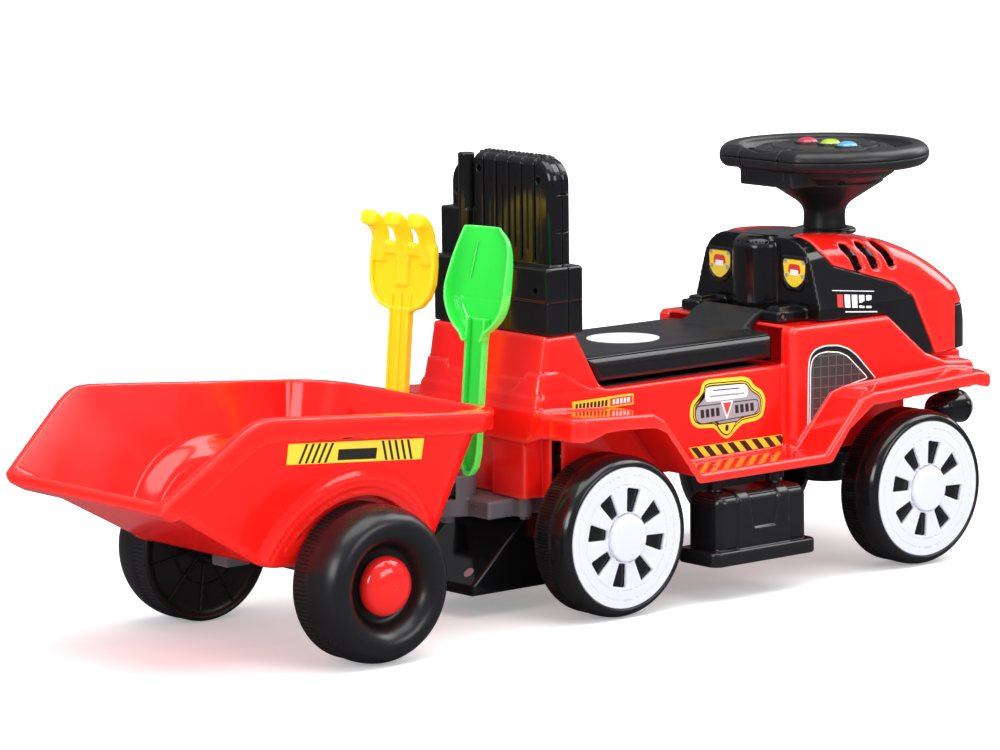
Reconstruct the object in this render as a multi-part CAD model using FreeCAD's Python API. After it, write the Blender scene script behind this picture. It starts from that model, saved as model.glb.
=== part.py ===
import FreeCAD, Part
import os, math
from FreeCAD import Vector

# A ride-on toy truck towing a two-wheeled sand trailer that carries a rake and a shovel.
# +x points to the front, +y to the truck's left and z up, with the ground at z = 0 (mm).
# Stations are laid out from the truck's rear axle; each finished solid is then moved by
# X_SHIFT, which puts the origin on the ground under the middle of the overall length.

# ---------------------------------------------------------------- driving dimensions
X_SHIFT = -9.0
WALL = 3.0                  # moulded wall
AXLE_R = 4.0                # steel axle radius
RUN = 0.06                  # radial running clearance
SIDES = ((1, "left"), (-1, "right"))

# truck running gear
R_TRUCK = 72.0              # wheel radius, also the axle height
W_TRUCK = 43.0              # wheel width
Y_OUT = 137.0               # outer face of a wheel
X_FRONT = 368.0             # front axle station
Y_KING = 72.0               # kingpin offset
LINK = 26.0                 # length of the crank and of both steering arms
AXLE_END = 131.0            # end of the rear axle and of the stub axles
RETAINER_Y = 128.6          # inner face of the disc at an axle end
RETAINER_R = 8.0

# steering
X_STEER = 366.0             # steering axis station
Z_RIM = 373.5               # mid-plane of the steering wheel
R_RIM = 87.5                # rim centre-line radius
RIM_R = 10.5                # rim section radius

# body, seat and backrest
BODY_HALF = 137.0           # half width over the wings
SEAT_HALF = 82.0            # half width of the seat base
MOUNT_HALF = 79.7           # half width of the backrest mount
COWL_HALF = 93.0            # half width of the cowl under the bonnet
DECK_Z = 195.0              # seat deck
HINGE_X, HINGE_Z = 252.0, 236.2     # seat lid hinge
HINGE_R = 2.5
BACK_SEAM = -16.0           # joint plane between the two backrest shells
TAB_X, TAB_YS = -22.0, (50, -50)    # backrest tabs let into the body
TAB_LEN, TAB_WIDE, TAB_GAP = 6.0, 10.0, 0.1     # half length, half width, clearance

# trailer
HITCH_X = -92.0             # hitch pin station
X_TRAIL = -278.0            # trailer axle station
Z_TRAIL = 67.7              # trailer axle height
W_TRAIL = 54.0              # wheel width
Y_TRAIL = 159.0             # outer face of a wheel

# screw positions, (x, y)
BEAM_SCREWS = [(X_FRONT + dx, y) for dx in (-18, 18) for y in (-40, 40)]
TOW_SCREWS = [(-53.5, y) for y in (-60, 60)]
STEP_SCREWS_LEFT = [(125, 112), (195, 112)]
STEP_SCREWS = [(x, side * y) for x, y in STEP_SCREWS_LEFT for side, _ in SIDES]
CROSS_SCREWS = [(-290, 45), (-290, -45)]
ARM_SCREWS = [(-215, 10), (-215, -10)]
WHEEL_SCREWS = [(X_STEER + 46, 30), (X_STEER + 46, -30), (X_STEER - 26, 50), (X_STEER - 26, -50)]

# rake and shovel where they pass through the trailer shelf: x, y, turn about z (degrees)
RAKE_POSE = (-104.0, 54.0, -72.0)
SHOVEL_POSE = (-105.0, -54.0, -68.0)
TOOL_Z = 194.0
TOOL_LEAN = 5.0             # lean about y, degrees

os.makedirs("parts", exist_ok=True)


# ---------------------------------------------------------------- helpers
def box(x_lo, x_hi, y_lo, y_hi, z_lo, z_hi):
    return Part.makeBox(x_hi - x_lo, y_hi - y_lo, z_hi - z_lo, Vector(x_lo, y_lo, z_lo))


def rod_x(y, z, x_lo, x_hi, radius):
    return Part.makeCylinder(radius, x_hi - x_lo, Vector(x_lo, y, z), Vector(1, 0, 0))


def rod_y(x, z, y_lo, y_hi, radius):
    return Part.makeCylinder(radius, y_hi - y_lo, Vector(x, y_lo, z), Vector(0, 1, 0))


def rod_z(x, y, z_lo, z_hi, radius):
    return Part.makeCylinder(radius, z_hi - z_lo, Vector(x, y, z_lo), Vector(0, 0, 1))


def rods_z(places, z_lo, z_hi, radius):
    return [rod_z(x, y, z_lo, z_hi, radius) for x, y in places]


def wire(vectors):
    return Part.makePolygon(vectors + vectors[:1])


def prism_x(points, x_lo, x_hi):
    """Extrude (y, z) points along x."""
    face = Part.Face(wire([Vector(x_lo, y, z) for y, z in points]))
    return face.extrude(Vector(x_hi - x_lo, 0, 0))


def prism_y(points, y_lo, y_hi):
    """Extrude (x, z) points along y."""
    face = Part.Face(wire([Vector(x, y_lo, z) for x, z in points]))
    return face.extrude(Vector(0, y_hi - y_lo, 0))


def prism_z(points, z_lo, z_hi):
    """Extrude (x, y) points along z."""
    face = Part.Face(wire([Vector(x, y, z_lo) for x, y in points]))
    return face.extrude(Vector(0, 0, z_hi - z_lo))


def lathe_y(profile, x, z, side, base=0.0):
    """Turn (radius, y) points, y counted outward from base, about an axle on one side."""
    face = Part.Face(wire([Vector(x + r, side * (base + y), z) for r, y in profile]))
    return face.revolve(Vector(x, 0, z), Vector(0, 1, 0), 360)


def lathe_steer(profile):
    """Turn (radius, z) points about the steering axis."""
    face = Part.Face(wire([Vector(X_STEER + r, 0, z) for r, z in profile]))
    return face.revolve(Vector(X_STEER, 0, 0), Vector(0, 0, 1), 360)


def ruled_loft(wires):
    solid = Part.makeLoft(wires, True, True)
    if solid.Volume < 0:
        solid.reverse()
    return solid if solid.isValid() else Part.makeSolid(Part.makeShell(solid.Faces))


def join(first, *others):
    for other in others:
        first = first.fuse(other)
    return first.removeSplitter()


def cut(shape, *tools):
    for tool in tools:
        shape = shape.cut(tool)
    return shape


def mirrored(shape):
    return shape.mirror(Vector(0, 0, 0), Vector(0, 1, 0))


def pair(shape):
    return [shape, mirrored(shape)]


def span(side, near, far):
    """The y range between two distances from the centre line, low end first."""
    return sorted((side * near, side * far))


def round_edges(solid, radius, wanted):
    """Fillet the edges whose centre passes the test."""
    edges = [edge for edge in solid.Edges if wanted(edge.CenterOfMass)]
    # Guards against a fillet that OpenCASCADE cannot build: the edges then stay sharp.
    try:
        rounded = solid.makeFillet(radius, edges)
        if rounded.isValid() and rounded.Volume > 0:
            return rounded
    except Exception:
        pass
    return solid


def side_edges(half_width, above):
    return lambda centre: abs(abs(centre.y) - half_width) < 0.1 and centre.z > above


def flip(points):
    return [(x, -y) for x, y in points]


def symmetric(half):
    """Complete an outline whose last point lies on the centre line."""
    return half + flip(half[-2::-1])


def quarter_arc(u_mid, v_mid, radius, start, stop):
    """Seven points from one angle to another, in degrees."""
    angles = [math.radians(start + (stop - start) * i / 6) for i in range(7)]
    return [(u_mid + radius * math.cos(a), v_mid + radius * math.sin(a)) for a in angles]


def rounded_rect(x_lo, x_hi, y_lo, y_hi, r):
    return (quarter_arc(x_hi - r, y_hi - r, r, 0, 90) + quarter_arc(x_lo + r, y_hi - r, r, 90, 180)
            + quarter_arc(x_lo + r, y_lo + r, r, 180, 270)
            + quarter_arc(x_hi - r, y_lo + r, r, 270, 360))


def write_node(name, *shapes):
    """Move every solid to the object's own origin and write them as one file."""
    solids = [solid for shape in shapes for solid in shape.Solids]
    for solid in solids:
        solid.translate(Vector(X_SHIFT, 0, 0))
    node = solids[0] if len(solids) == 1 else Part.makeCompound(solids)
    node.exportStep("parts/%s.step" % name)


# ---------------------------------------------------------------- truck body shell
# ends of the body in plan, (x, y) from the left side in to the centre line
FRONT_EDGE = [(450, 137), (466, 110), (479, 66), (485, 30), (486, 0)]
REAR_EDGE = [(-46, 137), (-55, 128), (-58, 100), (-66, 80), (-66, 0)]
# wings in side view, (x, z): upper line rear to front, lower line front to rear
WING_TOP = [(-96, 183), (-83, 183), (-70, 183), (-44, 182.5), (35, 178), (47, 171), (88.9, 120.5),
            (243, 121), (285, 164), (302, 168.5), (433, 173.5), (460, 171), (478, 167), (486, 160)]
WING_LOW = [(486, 150), (478, 151), (472, 156), (448, 157), (433, 160.5), (302, 156), (272, 137),
            (252, 110), (87.7, 109.5), (50, 158), (37, 164), (0, 166.5), (-20, 166), (-40, 160),
            (-96, 160)]
# side views, (x, z)
SEAT_OUT = [(-62, 104), (-62, 162), (-55, DECK_Z), (245, DECK_Z), (245, 112), (60, 112), (52, 104)]
SEAT_IN = [(-59, 60), (-59, 159), (-52, DECK_Z - WALL), (242, DECK_Z - WALL), (242, 60)]
MOUNT_OUT = [(-68, 160), (-57, 178), (-49, 215), (-43, 247.8), (-7, 247.8), (20, DECK_Z), (20, 160)]
MOUNT_IN = [(-59, 161), (-53, 178), (-46, 214), (-40.4, 244.8), (-9.2, 244.8), (17, DECK_Z - 1),
            (17, 161)]
COWL_OUT = [(238, 112), (238, 226), (242, 230), (362, 229), (410, 190), (436, 180), (482, 176),
            (482, 150), (290, 150), (262, 112)]
COWL_IN = [(241, 60), (241, 225), (243, 227), (361, 226), (408.4, 187.2), (435.5, 177.2),
           (479, 173), (479, 60)]
TUNNEL_OUT = [(314, 104), (314, 229), (362, 229), (410, 190), (420, 186.4), (420, 104)]
TUNNEL_IN = [(317, 108), (317, 227), (361, 227), (408.4, 188), (417, 184), (417, 108)]


def footprint(rear, front):
    return prism_z(symmetric(rear) + symmetric(flip(front)), 80, 260)


def inset_edge(edge, dx):
    return [(x + dx, min(y, BODY_HALF - WALL)) for x, y in edge]


def body_walls():
    """Seat base, backrest mount, cowl and wings, hollowed from below."""
    plan = footprint(REAR_EDGE, FRONT_EDGE)
    plan_in = footprint(inset_edge(REAR_EDGE, WALL), inset_edge(FRONT_EDGE, -WALL))

    wings = prism_y(WING_TOP + WING_LOW, -BODY_HALF, BODY_HALF).common(plan)
    wing_under = [(x, z - WALL) for x, z in WING_TOP]
    # the two low corners between the wheels are set by hand
    wing_under[6:8] = [(WING_TOP[6][0] - 1.5, 118.0), (WING_TOP[7][0] + 1.5, 118.0)]
    inner_half = BODY_HALF - WALL
    wings_in = prism_y(wing_under + [(486, 60), (-96, 60)], -inner_half, inner_half)
    wings_in = wings_in.common(plan_in)

    # the seat base is notched at its rear corners and at the middle of its rear wall
    seat = prism_y(SEAT_OUT, -SEAT_HALF, SEAT_HALF)
    seat = cut(seat, *pair(box(-70, -42, 71, 90, 90, 158)), box(-70, -54, -25, 25, 90, 158))
    seat_in = prism_y(SEAT_IN, WALL - SEAT_HALF, SEAT_HALF - WALL)
    seat_in = cut(seat_in, *pair(box(-70, -39, 68, 90, 50, 161)), box(-70, -51, -28, 28, 50, 161))

    mount = prism_y(MOUNT_OUT, -MOUNT_HALF, MOUNT_HALF)
    mount_in = prism_y(MOUNT_IN, WALL - MOUNT_HALF, MOUNT_HALF - WALL)
    mount = round_edges(mount, 4.0, side_edges(MOUNT_HALF, 180))

    cowl = prism_y(COWL_OUT, -COWL_HALF, COWL_HALF)
    cowl = round_edges(cowl, 5.0, side_edges(COWL_HALF, 176)).common(plan)
    cowl_in = prism_y(COWL_IN, WALL - COWL_HALF, COWL_HALF - WALL).common(plan_in)
    ledge = box(425, 484, -66, 66, 168, 184).common(plan)
    ledge_in = box(428, 481, -63, 63, 160, 181)

    # the recess lets the front of the seat lid into the rear wall of the cowl
    outer = join(seat, mount, cowl, wings, ledge)
    outer = outer.cut(box(230, 242.5, -77, 77, DECK_Z, 260))
    wing_void = wings_in.cut(box(-110, 239.5, -SEAT_HALF, SEAT_HALF, 0, 300))
    wing_void = wing_void.cut(box(239.5, 500, -COWL_HALF, COWL_HALF, 0, 300))
    front_void = join(cowl_in, ledge_in).cut(box(230, 245.5, -80, 80, DECK_Z - WALL, 260))
    return cut(outer, seat_in, mount_in, front_void, wing_void)


def body_shell():
    body = cut(body_walls(), box(32, 212, -64, 64, DECK_Z - 10, DECK_Z + 5))
    # moulded box under the bonnet that carries the front beam
    tunnel = cut(prism_y(TUNNEL_OUT, -52, 52), prism_y(TUNNEL_IN, -49, 49))
    beam_bosses = rods_z(BEAM_SCREWS, 104, 120, 5)
    axle_lugs = pair(box(-14, 14, 64, 82, 58, 125))
    tow_bosses = rods_z(TOW_SCREWS, 104, 159, 6.5)
    side_blocks = pair(box(20, 40, 66, 82, 104, 130))
    body = join(body, tunnel, *beam_bosses, *axle_lugs, *tow_bosses, *side_blocks)
    # steering shaft opening, rear axle bore, then screw holes
    body = cut(body, rod_z(X_STEER, 0, 90, 240, 13), rod_y(0, R_TRUCK, -90, 90, 6.0))
    body = cut(body, *rods_z(BEAM_SCREWS, 100, 118, 2.0))
    body = cut(body, *rods_z(TOW_SCREWS, 100, 125, 2.0))
    body = cut(body, *rods_z([(30, -74), (30, 74)], 100, 120, 2.0))
    body = cut(body, *rods_z(STEP_SCREWS, 116, 119.6, 2.0))
    length, width = TAB_LEN + TAB_GAP, TAB_WIDE + TAB_GAP
    return cut(body, *[box(TAB_X - length, TAB_X + length, y - width, y + width, 240, 250)
                       for y in TAB_YS])


write_node("body_shell", body_shell())

# ---------------------------------------------------------------- storage tray under the seat
FLANGE_Z = DECK_Z + 1.2     # top of the tray flange
tray = cut(box(33, 211, -63, 63, 126, FLANGE_Z), box(35.2, 208.8, -60.8, 60.8, 128.4, 250))
flange = cut(box(26, 218, -69, 69, DECK_Z, FLANGE_Z), box(34, 210, -62, 62, 150, 250))
write_node("storage_tray", join(tray, flange))

# ---------------------------------------------------------------- seat lid, hinged at its front
LID_HALF, LID_WALL = 74, 4
TONGUE_HALF = 41.5
# side views, (x, z)
LID_OUT = [(21.5, DECK_Z + 1.6), (8.0, 221), (10.5, 224.6), (232, 224.6), (237, 220),
           (237, DECK_Z + 1.6)]
LID_IN = [(25, DECK_Z - 1), (13, 220.6), (232, 220.6), (233, 219), (233, DECK_Z - 1)]
TONGUE = [(222, 219.5), (222, 224.6), (244, 238.4), (HINGE_X, HINGE_Z + 4),
          (HINGE_X, HINGE_Z - 4), (242.5, 231.6), (236, 220)]


def seat_lid():
    lid = prism_y(LID_OUT, -LID_HALF, LID_HALF)
    lid = round_edges(lid, 5.0, side_edges(LID_HALF, 215))
    inner = LID_HALF - LID_WALL
    lid = cut(lid, prism_y(LID_IN, -inner, inner))
    ribs = [box(x, x + 4, -inner, inner, 212, 221) for x in (60, 115, 170)]
    tongue = prism_y(TONGUE, -TONGUE_HALF, TONGUE_HALF)
    barrel = rod_y(HINGE_X, HINGE_Z, -TONGUE_HALF, TONGUE_HALF, 4.0)
    lid = join(lid, tongue, barrel, *ribs)
    return cut(lid, rod_y(HINGE_X, HINGE_Z, -50, 50, HINGE_R + RUN))


write_node("seat_lid", seat_lid())
write_node("seat_hinge_pin", rod_y(HINGE_X, HINGE_Z, -65, 65, HINGE_R))

# ---------------------------------------------------------------- bonnet, dash console, grille
# ridge height and half width by station: (x, z) and (x, y)
BONNET_TOP = [(280, 304), (300, 306), (330, 304.5), (361, 301.5), (395, 294), (425, 283),
              (455, 268), (480, 252), (494, 240), (500, 226)]
BONNET_HALF = [(280, 85), (330, 85), (380, 83.5), (430, 77), (455, 71), (480, 64), (494, 57),
               (500, 50)]
SHOULDER_Z, SHOULDER_R = 241.0, 22.0
SPINE_X, SPINE_R = 286, 27
GRILLE_X, GRILLE_Z = 473, 226.5     # rear face and top of the grille
COWL_TOP = 184.3                    # lowest edge of the bonnet and the grille
# side views, (x, z)
ABOVE_COWL = [(270, 230.4), (362.2, 229.4), (410.3, 190.6), (425.8, 184.8), (427, COWL_TOP),
              (520, COWL_TOP), (520, 330), (270, 330)]
HOOD_REGION = [(284, 330), (297, 291), (308, 278.6), (382.6, 256.5), (403, 243), (437, 184),
               (437, 150), (520, 150), (520, 330)]
LINING_REGION = [(316, 299), (392, 290), (396, 262), (316, 271)]
LINING_TRIM = [(437, 184), (403, 243.4), (382.6, 256.9), (308, 279), (300, 240)]
VENT_XS = (322, 344, 366)


def interpolate(table, x):
    for (x_a, value_a), (x_b, value_b) in zip(table, table[1:]):
        if x <= x_b:
            return value_a + (value_b - value_a) * (x - x_a) / (x_b - x_a)
    return table[-1][1]


def bonnet_section(x, inset):
    """Closed cross-section at a station: upright sides, leaning shoulders, nearly flat top."""
    top = interpolate(BONNET_TOP, x) - inset
    half = interpolate(BONNET_HALF, x) - inset
    lean = 14.0 * (top - SHOULDER_Z) / 45.0 if top > SHOULDER_Z else 0.0
    crown = half - lean - SHOULDER_R
    spring = top - SHOULDER_R
    left = [(half, 180.0), (half, min(SHOULDER_Z, spring)), (half - lean + 1.5, spring)]
    for degrees in (22, 45, 68):
        angle = math.radians(degrees)
        left.append((crown + 2 + SHOULDER_R * math.cos(angle),
                     spring + (SHOULDER_R - 3.5) * math.sin(angle)))
    left += [(crown - 6, top - 2.5), (crown * 0.45, top - 0.6), (0.0, top)]
    outline = left + [(-y, z) for y, z in left[-2::-1]]
    return wire([Vector(x, y, z) for y, z in outline])


def bonnet_loft(stations, inset=0.0):
    return ruled_loft([bonnet_section(x, inset) for x in stations])


mid_stations = [x for x, _ in BONNET_TOP[1:-2]]
bonnet = bonnet_loft([280] + mid_stations + [494, 500])
bonnet_in = bonnet_loft([283] + mid_stations + [491, 497], WALL)
bonnet = bonnet.common(prism_y(ABOVE_COWL, -120, 120))
shell = bonnet.cut(bonnet_in)
hood_region = prism_y(HOOD_REGION, -120, 120)
collar = join(rod_z(X_STEER, 0, 250, 330, 33.0), box(270, X_STEER, -33, 33, 250, 330))
grille_region = box(GRILLE_X, 520, -120, 120, 150, GRILLE_Z)

hood = shell.common(hood_region).cut(collar).cut(grille_region)
for side, _ in SIDES:
    for x in VENT_XS:
        vent = [(x, 295), (x + 11, 293.5), (x + 22, 273), (x + 13, 272.5)]
        hood = hood.cut(prism_y(vent, *span(side, 55, 95)))
write_node("hood", hood)

grille = shell.common(grille_region)
grille_back = box(GRILLE_X, GRILLE_X + WALL, -80, 80, COWL_TOP, GRILLE_Z).common(bonnet)
write_node("front_grille", join(grille, grille_back))

# the console is the rest of the shell with a half-round spine at the rear and hinge ears
console = join(shell.cut(hood_region), shell.common(collar))
spine_in_r = SPINE_R - WALL
spine = cut(rod_z(SPINE_X, 0, 230.4, 303, SPINE_R), rod_z(SPINE_X, 0, 220, 300, spine_in_r),
            box(282.9, 330, -40, 40, 220, 310))
ears = pair(box(244.5, 283, 43, 66, 230.4, 240.5))
sill = box(262, 283, -66, 66, 230.4, 234)
console = join(console, spine, *ears, sill)
console = cut(console, rod_y(HINGE_X, HINGE_Z, -70, 70, HINGE_R),
              rod_z(X_STEER, 0, 280, 320, 9.0))
spine_void = box(283.1, 330, -24, 24, 232, 299).common(rod_z(SPINE_X, 0, 232, 299, spine_in_r))
write_node("dash_console", cut(console, spine_void))

# thin lining inside the bonnet, seen through its side slots
LINING_XS = (315, 361, 400)
lining = bonnet_loft(LINING_XS, 3.3).cut(bonnet_loft(LINING_XS, 5.0))
lining = lining.common(prism_y(LINING_REGION, -110, 110))
linings = [lining.common(box(300, 410, *span(side, 52, 110), 200, 330)) for side, _ in SIDES]
lining_trim = prism_y(LINING_TRIM, -120, 120)
write_node("vent_lining", *[half.cut(lining_trim) for half in linings])

# ---------------------------------------------------------------- head lamps under the front wing
LAMP_Y, LAMP_Z = 70, 130
LAMP_R, LENS_R = 15, 12.4


def lamp_housing(y):
    housing = join(rod_x(y, LAMP_Z, 448, 476, LAMP_R),
                   Part.makeSphere(LAMP_R, Vector(449, y, LAMP_Z)),
                   box(452, 470, y - 5, y + 5, 140, 165))
    housing = cut(housing, rod_x(y, LAMP_Z, 470, 480, LENS_R + 0.1),
                  rod_x(y, LAMP_Z, 452, 472, 9))
    return housing.cut(box(440, 490, y - 20, y + 20, 165.0, 190))


def lamp_lens(y):
    dome = Part.makeSphere(17, Vector(470.5, y, LAMP_Z))
    return join(rod_x(y, LAMP_Z, 470, 479, LENS_R),
                dome.common(rod_x(y, LAMP_Z, 479, 500, LENS_R)))


write_node("headlamp_housings", *[lamp_housing(side * LAMP_Y) for side, _ in SIDES])
write_node("headlamp_lenses", *[lamp_lens(side * LAMP_Y) for side, _ in SIDES])

# ---------------------------------------------------------------- backrest, two joined shells
BACK_TOP, BACK_HALF = 402.0, 72.0
BACK_REAR, BACK_FRONT = -29.0, -5.0     # faces of the upper panel
FOOT_REAR, FOOT_FRONT = -41.0, 1.0      # faces of the thicker foot
FOOT_TOP = 308
BACK_SCREWS = [(-63, 287), (63, 287), (-54, 382.5), (27.5, 387.5), (63, 364)]   # (y, z)
GROOVE_YS = [-55.5 + 16.5 * i for i in range(6)]


def back_outline(inset=0.0):
    """Upper panel in (y, z), its left shoulder lower than the right one."""
    right_r, left_r = 20, 22
    right = quarter_arc(-BACK_HALF + right_r, BACK_TOP - 20, right_r - inset, 180, 90)
    left = quarter_arc(BACK_HALF - left_r, BACK_TOP - 30, left_r - inset, 90, 0)
    notch = [(40, BACK_TOP - inset), (42, BACK_TOP - 8 - inset)]
    return ([(-BACK_HALF + inset, 306)] + right + notch + left + [(BACK_HALF - inset, 306)])


def back_foot(x_lo, x_hi, outermost):
    foot = box(x_lo, x_hi, -80, 80, 248, FOOT_TOP)
    return round_edges(foot, 4.0, lambda centre: outermost(centre.x) and centre.z > 250)


def back_cavities(x_panel, x_foot):
    """Hollows of one shell, from the seam to the given inner faces."""
    panel = prism_x(back_outline(WALL), *sorted((x_panel, BACK_SEAM)))
    foot = box(*sorted((x_foot, BACK_SEAM)), -77, 77, 251, 305)
    return [panel.cut(box(-60, 40, -80, 80, 300, 309)), foot]


def back_rear():
    panel = prism_x(back_outline(), BACK_REAR, BACK_SEAM)
    foot = back_foot(FOOT_REAR, BACK_SEAM, lambda x: x < -40)
    step = box(-34, BACK_SEAM, 38, 76, 306, 351)
    pipe = rod_z(BACK_REAR, 45, 306, 399, 7).cut(box(BACK_REAR + WALL, 0, 30, 60, 300, 400))
    rear = join(panel, foot, step, pipe)
    rear = cut(rear, *back_cavities(BACK_REAR + WALL, FOOT_REAR + WALL),
               box(-31, BACK_SEAM, 43, 69, 309, 348))
    rear = cut(rear, *[box(-30, -28.2, y - 0.6, y + 0.6, 309, 399) for y in GROOVE_YS])
    posts, holes = [], []
    for y, z in BACK_SCREWS:
        posts.append(rod_x(y, z, -38.5 if z < FOOT_TOP else -26.5, BACK_SEAM, 4.6))
        holes += [rod_x(y, z, -45, BACK_SEAM - 4, 3.4), rod_x(y, z, -45, BACK_SEAM, 1.7)]
    tabs = [box(TAB_X - TAB_LEN, BACK_SEAM, y - TAB_WIDE, y + TAB_WIDE, 241, 252)
            for y in TAB_YS]
    return cut(join(rear, *posts, *tabs), *holes)


def back_front():
    panel = prism_x(back_outline(), BACK_SEAM, BACK_FRONT)
    foot = back_foot(BACK_SEAM, FOOT_FRONT, lambda x: x > 0.5)
    front = cut(join(panel, foot), *back_cavities(BACK_FRONT - WALL, FOOT_FRONT - WALL))
    posts, holes = [], []
    for y, z in BACK_SCREWS:
        posts.append(rod_x(y, z, BACK_SEAM, -5.5 if z > FOOT_TOP else -1.5, 4.6))
        holes.append(rod_x(y, z, BACK_SEAM - 1, BACK_SEAM + 7, 1.5))
    return cut(join(front, *posts), *holes)


write_node("backrest_rear_shell", back_rear())
write_node("backrest_front_shell", back_front())
write_node("backrest_screws", *[join(rod_x(y, z, BACK_SEAM - 6, BACK_SEAM - 4, 3.0),
                                     rod_x(y, z, BACK_SEAM - 4.5, BACK_SEAM + 7, 1.5))
                                for y, z in BACK_SCREWS])

# ---------------------------------------------------------------- step boxes under the sides
STEP_Y = (92.0, 138.0)      # inner and outer face
STEP_BASE = 32
# raised strap on the outer face, (x, z)
STRAP = [(131, 45), (131, 88), (140, 88), (148, 63), (174, 63), (181, 88), (190, 88), (190, 45)]


def step_box():
    y_in, y_out = STEP_Y
    outer = prism_z(rounded_rect(107, 217, y_in, y_out, 10), STEP_BASE, 95.5)
    outer = round_edges(outer, 7.0, lambda centre: centre.z > 95)
    skirt = prism_z(rounded_rect(97.5, 223, y_in - 3, y_out + 5, 9), STEP_BASE, 45)
    hollow = prism_z(rounded_rect(110, 214, y_in + WALL, y_out - WALL, 8), 27, 92)
    step = cut(join(outer, skirt, *rods_z(STEP_SCREWS_LEFT, 91.5, 118, 7)), hollow)
    step = cut(step, *rods_z(STEP_SCREWS_LEFT, 86, 119, 2.0))
    return join(step, prism_y(STRAP, y_out - 0.5, y_out + 2))


for (_, name), step in zip(SIDES, pair(step_box())):
    write_node("step_box_" + name, step)

# ---------------------------------------------------------------- tow bracket, pin, anti-tip foot
POST_R = 26
plate = cut(box(-90, -16, -55, 55, 88, 104), box(-86, -20, -50, 50, 80, 100))
neck = prism_z([(HITCH_X, -POST_R), (-60, -40), (-60, 40), (HITCH_X, POST_R)], 88, 104)
plate = join(plate, *rods_z(TOW_SCREWS, 88, 104, 6.5), box(-60, -47, -60, 60, 88, 104),
             neck, rod_z(HITCH_X, 0, 88, 104, POST_R))
# the slot flares to the rear and takes the drawbar eye
slot_flare = [(HITCH_X, -19.4), (-125, -32), (-125, 32), (HITCH_X, 19.4)]
slot = join(rod_z(HITCH_X, 0, 104, 118, 19.5), prism_z(slot_flare, 104, 118))
bracket = join(plate, rod_z(HITCH_X, 0, 88, 125, POST_R))
bracket = cut(bracket, slot, rod_z(HITCH_X, 0, 80, 130, AXLE_R))
write_node("tow_bracket", cut(bracket, *rods_z(TOW_SCREWS, 80, 110, 2.2)))

write_node("hitch_pin", join(rod_z(HITCH_X, 0, 84, 125, AXLE_R), rod_z(HITCH_X, 0, 125, 128, 8),
                             rod_z(HITCH_X, 0, 80, 88, 6.5)))

# side views, (x, z)
FOOT_OUT = [(-103, 20), (-103, 30), (-38, 87.8), (-12, 87.8), (-12, 20)]
FOOT_IN = [(-100, 10), (-100, 28.6), (-37, 84.8), (-15, 84.8), (-15, 10)]
write_node("anti_tip_foot", cut(prism_y(FOOT_OUT, -48, 48), prism_y(FOOT_IN, -45, 45),
                                rod_z(HITCH_X, 0, 60, 90, 7.5)))

# ---------------------------------------------------------------- rear axle
axle_bore = rod_y(0, R_TRUCK, -140, 140, AXLE_R)
write_node("rear_axle", rod_y(0, R_TRUCK, -AXLE_END, AXLE_END, AXLE_R))
write_node("rear_axle_bushes", *[join(rod_y(0, R_TRUCK, *span(side, 64, 82), 6.0),
                                      rod_y(0, R_TRUCK, *span(side, 82, 90.2), 9.0)).cut(axle_bore)
                                 for side, _ in SIDES])
write_node("rear_axle_retainers",
           *[rod_y(0, R_TRUCK, *span(side, RETAINER_Y, AXLE_END), RETAINER_R).cut(axle_bore)
             for side, _ in SIDES])

# ---------------------------------------------------------------- front beam and steering linkage
KINGPINS = [(X_FRONT, -Y_KING), (X_FRONT, Y_KING)]
BEAM_Z = (84, 98)
PAD_TOP = 104               # top of the pad bolted under the tunnel
BUSH_R = 7.0                # lower steering bush


def front_beam():
    guard = cut(rod_z(X_STEER, 0, 65, 86, 20), rod_z(X_STEER, 0, 60, 84, 17.5),
                box(X_STEER + 4, X_STEER + 40, -30, 30, 60, 84))
    beam = join(box(X_FRONT - 10, X_FRONT + 10, -82, 82, *BEAM_Z),
                box(X_FRONT - 27, X_FRONT + 27, -48, 48, BEAM_Z[1], PAD_TOP),
                rod_z(X_STEER, 0, BEAM_Z[0], PAD_TOP, 20), guard)
    beam = cut(beam, rod_z(X_STEER, 0, 80, 110, BUSH_R), *rods_z(KINGPINS, 80, 99, AXLE_R))
    beam = cut(beam, *rods_z(BEAM_SCREWS, 90, 110, 2.2))
    return cut(beam, *rods_z(BEAM_SCREWS, 90, 98, 4.6))


def steering_arm(x, y):
    """Arm running forward from (x, y), its rounded end, and the peg below that end."""
    return [box(x, x + LINK, y - 6, y + 6, 76, 83), rod_z(x + LINK, y, 76, 83, 6),
            rod_z(x + LINK, y, 66, 77, 3)]


def knuckle(side):
    y = side * Y_KING
    body = join(rod_z(X_FRONT, y, 57.4, 83.4, 9), *steering_arm(X_FRONT, y),
                rod_y(X_FRONT, R_TRUCK, *span(side, Y_KING, 90), 8))
    return cut(body, rod_z(X_FRONT, y, 50, 90, AXLE_R + RUN),
               rod_y(X_FRONT, R_TRUCK, *span(side, 79, 92), AXLE_R))


def rod_slot(x, y):
    """Short slot for a steering peg in the tie rod."""
    radius = 3.45
    return join(rod_z(x - 2.3, y, 60, 80, radius), rod_z(x + 0.3, y, 60, 80, radius),
                box(x - 2.3, x + 0.3, y - radius, y + radius, 60, 80))


write_node("front_axle_beam", front_beam())
write_node("kingpins", *[join(rod_z(x, y, 57, 98, AXLE_R), rod_z(x, y, 54, 57, 7))
                         for x, y in KINGPINS])
for side, name in SIDES:
    write_node("knuckle_" + name, knuckle(side))
    write_node("stub_axle_" + name,
               join(rod_y(X_FRONT, R_TRUCK, *span(side, 79, AXLE_END), AXLE_R),
                    rod_y(X_FRONT, R_TRUCK, *span(side, RETAINER_Y, AXLE_END), RETAINER_R)))

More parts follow.
